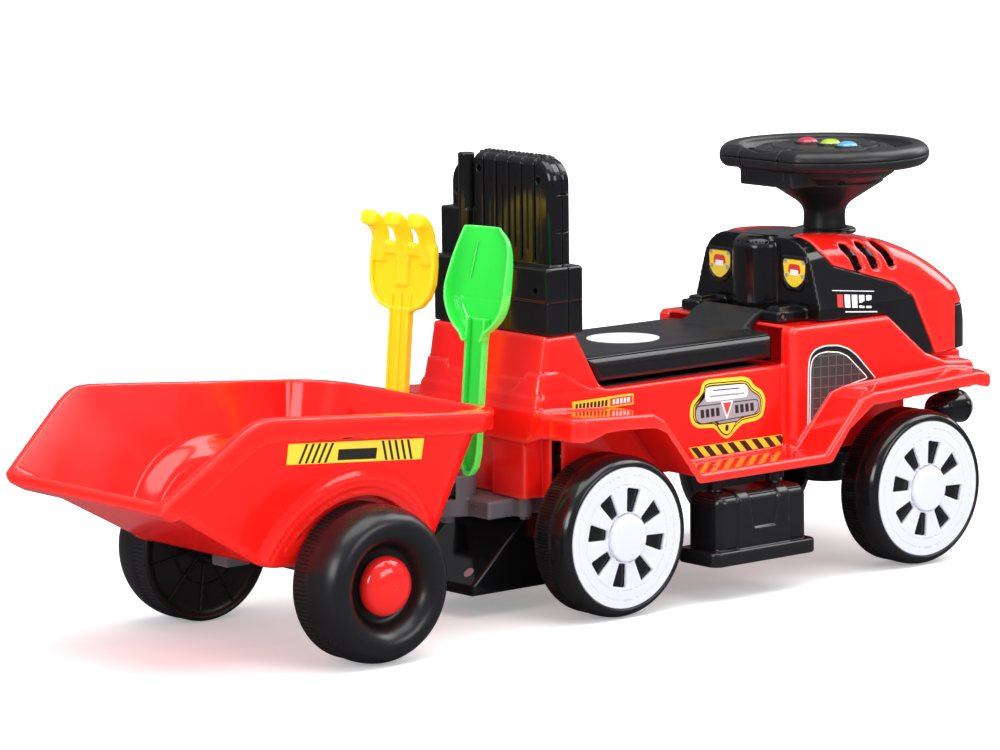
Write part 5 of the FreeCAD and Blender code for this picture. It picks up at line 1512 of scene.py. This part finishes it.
def wheel_solid(rear_cut):
    """Bowl, spokes, battery box and rim as one closed solid."""
    hub = Matrix.Translation((SHAFT_X, 0, RIM_Z))
    spokes = [moved(box(58, 86, -25, 25, -7.0, 5.4, 3.4),
                    hub @ Matrix.Rotation(math.radians(a), 4, "Z")) for a in (0, 90, 270)]
    spokes.append(moved(box(-76, -52, -36, 36, -7.0, 5.4, 3.0), hub))
    dish = turned("z", SHAFT_X, 0, [(66.5, RIM_Z + 1.2), (76.5, RIM_Z + 1.2), (80.5, RIM_Z + 6),
                                    (80.5, RIM_Z + 14), (66.5, RIM_Z + 14)], 1.6)
    pad_ring = turned("z", SHAFT_X, 0, [(49.5, 380.1), (51.0, 380.1), (51.0, 390), (49.5, 390)])
    # shallow petals pressed into the top around the pad
    petal = prism("z", [(50, -6.5), (62.5, -9.5), (62.5, 9.5), (50, 6.5)], 379.6, 392, 3.0)
    petals = [moved(petal, Matrix.Translation((SHAFT_X, 0, 0))
                    @ Matrix.Rotation(math.radians(36 * k + 18), 4, "Z")) for k in range(10)]
    solid = cut(3.0, turned("z", SHAFT_X, 0, BOWL, 1.6), rear_cut)
    solid = join(3.0, solid, join(0, *spokes))
    solid = join(2.0, solid, box(SHAFT_X - 75, SHAFT_X - 40, -35.4, 35.4, 347.5, RIM_Z + 2, 2.0))
    solid = join(3.5, solid, rim)
    solid = cut(3.0, solid, dish)
    solid = cut(0.6, solid, pad_ring)
    return cut(1.4, solid, join(0, *petals))


def at_wheel_screws(low, high, radius):
    return mirrored(join(0, cylinder("z", SHAFT_X + 46, 30, low, high, radius),
                         cylinder("z", SHAFT_X - 26, 50, low, high, radius)))


def build_steering_wheel():
    rear_cut = box(SHAFT_X - 110, SHAFT_X - 63.5, -70, 70, 330, 420, 0)
    solid = wheel_solid(rear_cut)
    hollow = cut(0, turned("z", SHAFT_X, 0, BOWL_INNER, 0.8), grown(rear_cut, 3.2))
    shell = cut(0, solid, hollow)
    seams = mirrored(box(SHAFT_X - 90, SHAFT_X - 60, 25.5, 26.5, 355, 392))

    lower = join(0.8, shell, common(0, at_wheel_screws(350, RIM_Z, 4.6), grown(solid, -1.0)))
    lower = cut(0, lower, at_wheel_screws(355, RIM_Z, 1.7), at_wheel_screws(330, 359.6, 3.3),
                box(SHAFT_X - 72.4, SHAFT_X - 42.6, -32.4, 32.4, 340, RIM_Z - 2),
                cylinder("z", SHAFT_X, 0, 330, 352, 4.0))
    lower = cut(0.4, lower, seams)
    lower = common(0.9, lower, below("z", RIM_Z - RIM_GAP))
    skin("steering_wheel_lower_half", lower,
         (SHAFT_X - 86, -100, 343), (SHAFT_X + 100, 100, 373), 1.55,
         SATIN, "black_satin", "steering", "steering_wheel_bottom")

    plate = prism("z", [(SHAFT_X + x, y) for x, y in BUTTON_PLATE], 380.4, 390, 6.0)
    rings = [cut(0, cylinder("z", x, y, 380.0, 382.4, 12.4, 0.8),
                 cylinder("z", x, y, 360, 400, 10.3)) for _, x, y, _ in BUTTONS]
    upper = cut(0, shell, common(0, plate, above("z", 380.45)))
    upper = join(0.6, upper, join(0, *rings))
    upper = cut(0, upper, *[cylinder("z", x, y, 368, 395, 10.3) for _, x, y, _ in BUTTONS])
    upper = cut(0.4, upper, seams)
    upper = common(0.9, upper, above("z", RIM_Z + RIM_GAP))
    skin("steering_wheel_upper_half", upper,
         (SHAFT_X - 86, -100, 369), (SHAFT_X + 100, 100, 384), 1.45,
         SATIN, "black_satin", "steering", "steering_wheel_top")


build_steering_wheel()

# Column funnel and button dome, (radius, z).
FUNNEL = (
    [(4.0, 303.5), (19.6, 303.5)]
    + smooth_profile([(20.0, 304.0), (19.8, 308.0), (19.4, 314.0), (19.8, 320.0),
                      (21.6, 324.4), (24.8, 328.0), (29.0, 331.2), (35.0, 335.0),
                      (42.0, 339.6), (49.0, 344.0), (54.2, 347.2)], 4)
    + [(54.9, 347.7), (54.9, 348.4), (54.4, 348.9), (53.4, 348.8), (38, 344.0), (24, 336.0),
       (4.0, 336.0)])
BUTTON = [(0.4, 376.0), (11.4, 376.0), (11.7, 376.5), (11.7, 377.6), (11.3, 378.0),
          (10.0, 378.0), (10.0, 380.8), (9.8, 381.8), (9.3, 382.8), (8.5, 383.7), (7.5, 384.5),
          (6.3, 385.2), (5.0, 385.7), (3.6, 386.0), (2.0, 386.2), (0.4, 386.25)]
lathe("steering_column_funnel", "z", (SHAFT_X, 0), FUNNEL, 128,
      SATIN, "black_satin", "steering", "steering_column", split=50)
for name, x, y, material in BUTTONS:
    lathe("button_dome_" + name, "z", (x, y), BUTTON, 64,
          material, "button_" + name, name + "_button", "button_" + name, split=50)

# ============================================================ printed panels
# A panel is a list of layers (outline, base height, top height, material). A place function
# maps (u, v, height) to x, y, z; on the sides u is x and v is z.


def sticker(name, layers, place, body):
    """Stack of thin closed plates."""
    vertices, faces, face_materials, materials = [], [], [], []
    for points, base, top, material in layers:
        if material not in materials:
            materials.append(material)
        if winding(points) < 0:
            points = points[::-1]
        n = len(points)
        b = len(vertices)
        vertices += [scene_units(*place(u, v, h)) for h in (base, top) for u, v in points]
        faces.append(list(range(b + n - 1, b - 1, -1)))
        faces.append(list(range(b + n, b + 2 * n)))
        for i in range(n):
            j = (i + 1) % n
            faces.append([b + i, b + j, b + n + j, b + n + i])
        face_materials += [materials.index(material)] * (n + 2)
    mesh = bpy.data.meshes.new(name)
    mesh.from_pydata(vertices, [], faces)
    mesh.update()
    for material in materials:
        mesh.materials.append(material)
    for polygon, index in zip(mesh.polygons, face_materials):
        polygon.material_index = index
    bm = bmesh.new()
    bm.from_mesh(mesh)
    bmesh.ops.recalc_face_normals(bm, faces=bm.faces)
    bmesh.ops.triangulate(bm, faces=[f for f in bm.faces if len(f.verts) > 4],
                          quad_method="BEAUTY", ngon_method="EAR_CLIP")
    bm.to_mesh(mesh)
    bm.free()
    ob = link(name, mesh)
    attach(ob, body)


def unit(vector):
    return vector / (np.linalg.norm(vector) + 1e-9)


def grow(points, amount):
    """Rounded outline offset by moving each point along its averaged normal."""
    turn = winding(points)
    result = []
    for i, (bx, by) in enumerate(points):
        ax, ay = points[i - 1]
        cx, cy = points[(i + 1) % len(points)]
        before = unit(np.array((bx - ax, by - ay)))
        along = unit(before + unit(np.array((cx - bx, cy - by))))
        normal = np.array((along[1], -along[0])) * turn
        square = float(np.dot(normal, np.array((before[1], -before[0])) * turn))
        stretch = 1.0 / max(0.5, square)
        result.append((bx + normal[0] * amount * stretch, by + normal[1] * amount * stretch))
    return result


def clip_polygon(points, start, end, lean, level):
    """Part of a convex polygon between two lines u - lean * (v - level) = start, end."""
    def keep(polygon, sign, limit):
        result = []
        for i, a in enumerate(polygon):
            b = polygon[(i + 1) % len(polygon)]
            fa, fb = [sign * (p[0] - lean * (p[1] - level) - limit) for p in (a, b)]
            if fa >= 0:
                result.append(a)
            if (fa >= 0) != (fb >= 0):
                t = fa / (fa - fb)
                result.append((a[0] + (b[0] - a[0]) * t, a[1] + (b[1] - a[1]) * t))
        return result
    return keep(keep(points, 1, start), -1, end)


def flat_side(side, y):
    return lambda u, v, h: (u, side * (y + h), v)


def on_surface(field, side, low, high):
    """Place function that finds the skin of a field between two distances from y = 0."""
    def place(u, v, h):
        inside, outside = low, high
        for _ in range(22):
            middle = 0.5 * (inside + outside)
            spot = [np.array([c], np.float32) for c in (u, side * middle, v)]
            if float(field(*spot)[0]) < 0:
                inside = middle
            else:
                outside = middle
        return (u, side * (inside + h), v)
    return place


# Side badge outlines (x, z).
BADGE = rounded([
    (137.9, 188.9), (144.1, 191.4), (187.5, 189.6), (195.8, 186.7), (199.9, 180.6),
    (210.3, 174.5), (214.5, 166.8), (213.8, 159.0), (210.9, 150.4), (204.1, 147.6),
    (186.2, 146.4), (177.8, 141.3), (171.6, 136.1), (166.4, 134.8), (161.2, 137.1),
    (155.1, 143.6), (150.6, 146.8), (132.5, 148.0), (125.3, 152.2), (122.3, 159.0),
    (123.4, 170.4), (127.6, 174.8), (134.7, 178.5), (136.4, 184.5)], 3.0, 2)
BADGE_TOP = rounded([(142, 184.4), (189.5, 182.8), (193.0, 177.5), (191.6, 170.4),
                     (141.4, 171.0), (140.2, 178)], 3.0, 3)
BADGE_LOW = rounded([(130.6, 167.8), (204, 166.6), (205.4, 158.8), (200, 153.8), (136, 152.0),
                     (130.2, 155.2), (128.6, 161.4)], 3.0, 3)
BADGE_DROP = rounded([(153.6, 149.6), (179.2, 150.2), (174.7, 143.1), (170.5, 138.9),
                      (166.0, 137.7), (160.6, 140.2), (156.4, 145.2)], 2.0, 2)


def side_badge(side, name):
    layers = [
        (BADGE, -0.5, 0.30, INK_YELLOW),
        (grow(BADGE, -3.4), 0.2, 0.40, INK_BLACK),
        (grow(BADGE, -4.4), 0.3, 0.50, INK_YELLOW),
        (grow(BADGE, -5.4), 0.4, 0.60, INK_BLACK),
        (grow(BADGE, -6.6), 0.5, 0.70, INK_GREY),
        (BADGE_TOP, 0.6, 0.85, INK_WHITE),
        (rounded([(150, 181.2), (182, 180.2), (182, 179.2), (150, 180.2)], 0.3, 1),
         0.8, 1.0, INK_BLACK),
        (rounded([(146, 176.6), (188, 175.2), (188, 173.4), (146, 174.8)], 0.6, 2),
         0.8, 1.0, INK_GREY),
        (grow(BADGE_LOW, 0.9), 0.6, 0.80, INK_BLACK),
        (BADGE_LOW, 0.7, 0.92, INK_GREY)]
    for k in range(4):
        for start in (134.6, 176.4):
            x = start + 6.2 * k
            layers.append(([(x, 164.6), (x + 4.0, 164.5), (x + 4.6, 157.0), (x + 0.6, 157.0)],
                           0.88, 1.05, INK_BLACK))
    layers += [
        ([(159.0, 169.6), (174.4, 169.4), (166.6, 152.6)], 0.8, 1.10, INK_WHITE),
        ([(161.8, 168.2), (171.8, 168.0), (166.6, 156.4)], 1.0, 1.25, INK_RED),
        (BADGE_DROP, 0.6, 0.80, INK_BLACK),
        (grow(BADGE_DROP, -1.1), 0.7, 0.95, INK_YELLOW),
        (rounded([(164.6, 147.6), (168.4, 147.6), (168.4, 142.2), (164.6, 142.2)], 1.2, 2),
         0.9, 1.1, INK_BLACK)]
    sticker("side_badge_" + name, layers, flat_side(side, 82.0), "truck")


def hazard_strip(side, name):
    strip = rounded([(120.9, 131.6), (242.4, 131.2), (241.4, 117.6), (132.4, 116.2)], 1.0, 2)
    layers = [(strip, -0.5, 0.35, INK_YELLOW)]
    for k in range(8):
        stripe = clip_polygon(grow(strip, -0.4), 130 + 14.6 * k, 137.3 + 14.6 * k,
                              lean=-0.95, level=124)
        if len(stripe) > 2:
            layers.append((stripe, 0.3, 0.5, INK_BLACK))
    sticker("hazard_strip_" + name, layers, flat_side(side, 82.0), "truck")


def side_strip(side, name):
    """Narrow strip with two rows of slanted blocks."""
    layers = [
        (rounded([(-17.3, 188.4), (54.0, 188.4), (53.9, 178.9), (-16.0, 178.6)], 0.6, 1),
         -3.0, 0.30, INK_YELLOW),
        (rounded([(26.4, 187.2), (52.8, 187.2), (52.8, 180.0), (26.6, 180.0)], 0.5, 1),
         0.2, 0.45, INK_RED)]
    # start x, count, top z, bottom z, base height, top height, material
    for start, count, top, bottom, low, high, material in (
            (-13.6, 9, 186.2, 180.8, 0.2, 0.45, INK_BLACK),
            (29.6, 5, 185.8, 181.4, 0.4, 0.6, INK_WHITE)):
        for k in range(count):
            x = start + 4.3 * k
            layers.append(([(x, top), (x + 2.6, top), (x + 2.2, bottom), (x - 0.4, bottom)],
                           low, high, material))
    sticker("side_strip_" + name, layers, flat_side(side, 83.9), "truck")


# Mesh window beside the front wheel (x, z).
WINDOW_FRAME = rounded([
    (257.5, 192.4), (259.3, 201.6), (265.6, 207.7), (278.4, 210.2), (295.5, 208.9),
    (308.4, 204.5), (319.1, 197.1), (344.0, 172.3), (327.8, 171.6), (308.3, 168.9),
    (296.5, 163.5), (286.8, 153.5), (260.0, 117.1), (255.8, 117.6)], 4.0, 3)
WINDOW = rounded([
    (260.9, 191.3), (263.0, 198.3), (269.0, 202.1), (279.4, 203.3), (295.5, 201.4),
    (306.2, 196.8), (331.3, 174.6), (325.6, 174.0), (307.3, 171.2), (294.4, 165.4),
    (283.5, 154.3), (262.1, 125.1), (259.6, 125.1)], 3.0, 2)
WINDOW_Y = 93.0


def mesh_window(side, name):
    layers = [(WINDOW_FRAME, -0.5, 0.30, INK_WHITE),
              (grow(WINDOW_FRAME, -1.2), 0.2, 0.42, INK_BLACK),
              (grow(WINDOW, 1.2), 0.35, 0.55, INK_WHITE),
              (WINDOW, 0.5, 0.68, INK_DARK)]
    sticker("mesh_window_" + name, layers, flat_side(side, WINDOW_Y), "truck")


def wire_pieces(start, end, width=0.7, steps=90):
    """Parts of a straight wire that lie over the window, as thin quads."""
    pieces = []
    entry = None
    for i in range(steps + 1):
        t = i / steps
        u, v = start[0] + (end[0] - start[0]) * t, start[1] + (end[1] - start[1]) * t
        distance = float(polygon_distance(np.array([u]), np.array([v]), WINDOW)[0])
        inside = distance < -0.3 and i < steps
        if inside and entry is None:
            entry = (u, v)
        if not inside and entry is not None:
            d = np.array((u - entry[0], v - entry[1]))
            length = np.linalg.norm(d)
            if length > 2:
                m = np.array((-d[1], d[0])) / length * width * 0.5
                pieces.append([(entry[0] - m[0], entry[1] - m[1]), (u - m[0], v - m[1]),
                               (u + m[0], v + m[1]), (entry[0] + m[0], entry[1] + m[1])])
            entry = None
    return pieces


def window_wires(side, name):
    pieces = []
    for k in range(12):
        x, z = 252 + 9.6 * k, 114 + 9.6 * k
        pieces += wire_pieces((x, 108), (x + 2, 214))
        pieces += wire_pieces((250, z + 1), (348, z - 3))
    sticker("mesh_window_wires_" + name, [(piece, 0.62, 0.95, INK_WIRE) for piece in pieces],
            flat_side(side, WINDOW_Y), "truck")


def dash_shield(side, name):
    """Shield on the rear wall of the console; u runs towards -y."""
    shield = rounded([(-17.0, 287.6), (17.0, 287.6), (15.6, 272.2), (9.0, 263.8), (0, 258.4),
                      (-9.0, 262.4), (-15.6, 271.6)], 3.4, 4)
    layers = [
        (shield, -0.5, 0.9, INK_YELLOW),
        (rounded([(-8, 277.5), (-6, 280.8), (6, 280.8), (8, 277.5), (8, 272.6), (-8, 272.6)],
                 1.2, 2), 0.8, 1.1, INK_RED),
        (rounded([(-5.4, 275.6), (5.4, 275.6), (5.4, 270.4), (-5.4, 270.4)], 0.8, 2),
         1.0, 1.25, INK_WHITE)]
    for u, v in ((-11.6, 283), (11.6, 283), (-10.6, 270), (10.6, 270)):
        dot = [(u - 1.9, v - 1.9), (u + 1.9, v - 1.9), (u + 1.9, v + 1.9), (u - 1.9, v + 1.9)]
        layers.append((rounded(dot, 1.6, 3), 0.8, 1.05, INK_GREY))
    sticker("dash_shield_" + name, layers,
            lambda u, v, h: (280.6 - h, side * 51.2 - u, v), "truck")


def console_mark(side, name):
    """Two thin lines with five slanted blocks between them."""
    layers = [
        ([(300, 257.6), (352, 252.2), (352, 251.5), (300, 256.9)], -0.6, 0.35, INK_WHITE),
        ([(312, 237.4), (353, 233.6), (353, 232.5), (312, 236.3)], -0.6, 0.35, INK_WHITE)]
    for k in range(5):
        x, z = 305.0 + 9.0 * k, 253.4 - 1.0 * k
        layers.append(([(x, z), (x + 6.6, z - 0.7), (x + 4.2, z - 12.2), (x - 2.4, z - 11.5)],
                       -0.6, 0.4, INK_WHITE if k else INK_RED))
    sticker("console_mark_" + name, layers, on_surface(bonnet(0.0), side, 40.0, 110.0), "truck")


# Trailer strip corners (x, z): top rear, top front, bottom front, bottom rear.
STRIP = [(-358.5, 194.6), (-213.5, 183.0), (-213.0, 164.4), (-357.0, 176.2)]


def between(a, b, t):
    return (a[0] + (b[0] - a[0]) * t, a[1] + (b[1] - a[1]) * t)


def strip_quad(start, end, upper, lower, lean=0.0):
    """Part of the strip, in shares of its length and of its depth from the top."""
    def spot(along, down):
        return between(between(STRIP[0], STRIP[1], along), between(STRIP[3], STRIP[2], along),
                       down)
    return [spot(start + lean, upper), spot(end + lean, upper),
            spot(end - lean, lower), spot(start - lean, lower)]


def trailer_strip(side, name):
    def wall(x, y, z):
        return tub(0.0)(x, y, z) - arch_bulge(x, z)

    pieces = 12
    layers = []
    for i in range(pieces):
        overlap = 0.0002 if i else 0
        layers.append((strip_quad(i / pieces - overlap, (i + 1) / pieces, 0, 1),
                       -0.6, 0.4, INK_YELLOW))
    for k in range(5):
        for first, lean in ((0.105, 0.022), (0.705, -0.022)):
            start = first + 0.047 * k
            layers.append((strip_quad(start, start + 0.017, 0.03, 0.97, lean),
                           -0.3, 0.6, INK_BLACK))
    layers.append((strip_quad(0.37, 0.655, 0.36, 0.88), -0.3, 0.65, INK_BLACK))
    sticker("trailer_strip_" + name, layers, on_surface(wall, side, 60.0, 150.0), "trailer")


def circle(radius, steps):
    return [(radius * math.cos(2 * math.pi * i / steps),
             radius * math.sin(2 * math.pi * i / steps)) for i in range(steps)]


def foot_slope(u, v, h):
    """Place on the sloping rear face of the foot."""
    cosine, sine = 0.748, 0.663
    return (-93.3 + u * cosine - h * sine, -30.4 + v, 38.6 + u * sine + h * cosine)


for side, side_name in SIDES:
    for panel in (side_badge, hazard_strip, side_strip, mesh_window, window_wires, dash_shield,
                  console_mark, trailer_strip):
        panel(side, side_name)
sticker("seat_disc", [(circle(33.2, 72), -0.5, 0.35, INK_WHITE)],
        lambda u, v, h: (110.3 + u, -5.4 + v, SEAT_TOP_Z + h), "seat")
sticker("foot_dot", [(circle(5.0, 32), -0.5, 0.4, INK_PALE)], foot_slope, "truck")

# ============================================================ finish on the CAD pieces
CAD_FINISH = [
    (SATIN, ("storage_tray", "front_axle_beam", "speaker", "battery_cover", "knuckle_left",
             "knuckle_right", "tie_rod")),
    (STEEL, ("seat_hinge_pin", "backrest_screws", "underside_screws", "rear_axle",
             "rear_axle_retainers", "kingpins", "steering_shaft", "steering_wheel_screws",
             "stub_axle_left", "stub_axle_right", "trailer_screws", "trailer_axle")),
    (GREY, ("hitch_pin", "rear_axle_bushes", "steering_bushes", "trailer_drawbar")),
    (BLACK, ("vent_lining",)),
    (BOARD, ("circuit_board",)),
    (CELL, ("batteries",)),
    (RUBBER, ("button_pad",)),
]


def finish_cad_piece(name, material, bevel_width):
    ob = bpy.data.objects.get(name)
    # a piece may be missing from the frame, or not be a mesh
    if ob is None or ob.type != "MESH":
        return
    ob.data.materials.clear()
    ob.data.materials.append(material)
    bevel = ob.modifiers.new("edge_break", "BEVEL")
    bevel.width = bevel_width
    bevel.segments = 2
    bevel.limit_method = "ANGLE"
    bevel.angle_limit = math.radians(38)
    bevel.harden_normals = False


for material, names in CAD_FINISH:
    for name in names:
        finish_cad_piece(name, material, bevel_width=0.0004 if material is STEEL else 0.0008)

# ============================================================ studio (metres)
FLOOR_RADIUS, FLOOR_SEGMENTS, FLOOR_Z = 16.0, 48, -0.0002
# Area lights: name, place, target, size, watts.
LIGHTS = [
    ("key_top", (-0.3, -0.4, 2.6), (0, 0, 0.1), (2.6, 2.0), 50),
    ("soft_left", (-2.9, -0.9, 1.3), (0, 0, 0.15), (1.3, 1.1), 30),
    ("soft_front", (0.7, -3.1, 1.5), (0, 0, 0.15), (2.2, 0.9), 24),
    ("soft_right", (2.7, 0.2, 1.4), (0, 0, 0.15), (1.0, 1.4), 14),
    ("seat_box", (2.0, -0.85, 2.4), (0.1, 0, 0.2), (1.7, 1.5), 34),
]
CAMERA_PLACE = (-2.75216, -3.29788, 0.84570)
CAMERA_ROTATION = ((0.7710572, 0.10352896, -0.62829337),
                   (-0.63665598, 0.10700946, -0.7636872),
                   (-0.01183041, 0.98885324, 0.14842275))


def floor_material():
    """White to the camera, glowing more with distance; duller in reflections."""
    material, tree, shader = new_material("floor_white")
    mottle = add(tree, "TexNoise", {"Scale": 3.0})
    white = ramp(tree, mottle.outputs["Fac"],
                 [(0.3, (0.92, 0.92, 0.925)), (0.7, (0.95, 0.95, 0.955))])
    rays = add(tree, "LightPath").outputs
    position = add(tree, "NewGeometry").outputs["Position"]
    distance = add(tree, "VectorMath", {0: position}, operation="LENGTH")
    fade = add(tree, "MapRange", {
        "Value": distance.outputs["Value"], "From Min": 0.9, "From Max": 3.2,
        "To Min": 0.30, "To Max": 1.1})
    feed(tree, shader, {
        "Base Color": mix(tree, rays["Is Glossy Ray"], white, (0.10, 0.10, 0.105, 1)),
        "Roughness": 0.7,
        "Specular IOR Level": 0.1,
        "Emission Color": (1, 1, 1, 1),
        "Emission Strength": scaled(tree, rays["Is Camera Ray"], fade.outputs[0])})
    return material


def build_floor():
    vertices = [(0.0, 0.0, FLOOR_Z)]
    faces = []
    for i in range(FLOOR_SEGMENTS):
        t = 2 * math.pi * i / FLOOR_SEGMENTS
        vertices.append((FLOOR_RADIUS * math.cos(t), FLOOR_RADIUS * math.sin(t), FLOOR_Z))
        faces.append((0, 1 + i, 1 + (i + 1) % FLOOR_SEGMENTS))
    mesh = bpy.data.meshes.new("floor")
    mesh.from_pydata(vertices, [], faces)
    mesh.update()
    ob = link("studio_floor", mesh)
    mesh.materials.append(floor_material())


def build_light(name, place, target, size, watts):
    light = bpy.data.lights.new(name, "AREA")
    light.shape = "RECTANGLE"
    light.size, light.size_y = size
    light.energy = watts
    ob = link(name, light)
    ob.location = place
    aim = Vector(target) - Vector(place)
    ob.rotation_euler = aim.to_track_quat("-Z", "Y").to_euler()


def build_world():
    """White to the camera, a vertical gradient in reflections, soft grey otherwise."""
    world = bpy.context.scene.world or bpy.data.worlds.new("studio")
    bpy.context.scene.world = world
    world.use_nodes = True
    tree = world.node_tree
    rays = add(tree, "LightPath").outputs
    incoming = add(tree, "NewGeometry").outputs["Incoming"]
    height = add(tree, "SeparateXYZ", {0: incoming}).outputs["Z"]
    upward = add(tree, "MapRange", {"Value": height, "From Min": 1.0, "From Max": -1.0})
    gradient_color = ramp(tree, upward.outputs[0], [
        (0.46, (0.06, 0.06, 0.065)), (0.62, (0.22, 0.22, 0.235)), (0.95, (0.34, 0.34, 0.36))])
    ambient = mix(tree, rays["Is Glossy Ray"], (0.62, 0.63, 0.66, 1), gradient_color)
    color = mix(tree, rays["Is Camera Ray"], ambient, (1.0, 1.0, 1.0, 1))
    feed(tree, tree.nodes.get("Background"), {0: color, 1: 1.0})


def build_camera():
    camera = bpy.data.cameras.new("photo_camera")
    camera.lens = 174.83
    camera.sensor_width = 36
    camera.sensor_fit = "HORIZONTAL"
    camera.clip_start, camera.clip_end = 0.05, 50
    ob = link("photo_camera", camera)
    ob.matrix_world = Matrix.Translation(CAMERA_PLACE) @ Matrix(CAMERA_ROTATION).to_4x4()
    bpy.context.scene.camera = ob


build_floor()
for light in LIGHTS:
    build_light(*light)
build_world()
build_camera()
view = bpy.context.scene.view_settings
view.view_transform = "Standard"
view.look = "None"
view.exposure = 0.0
view.gamma = 1.0

bpy.context.view_layer.update()
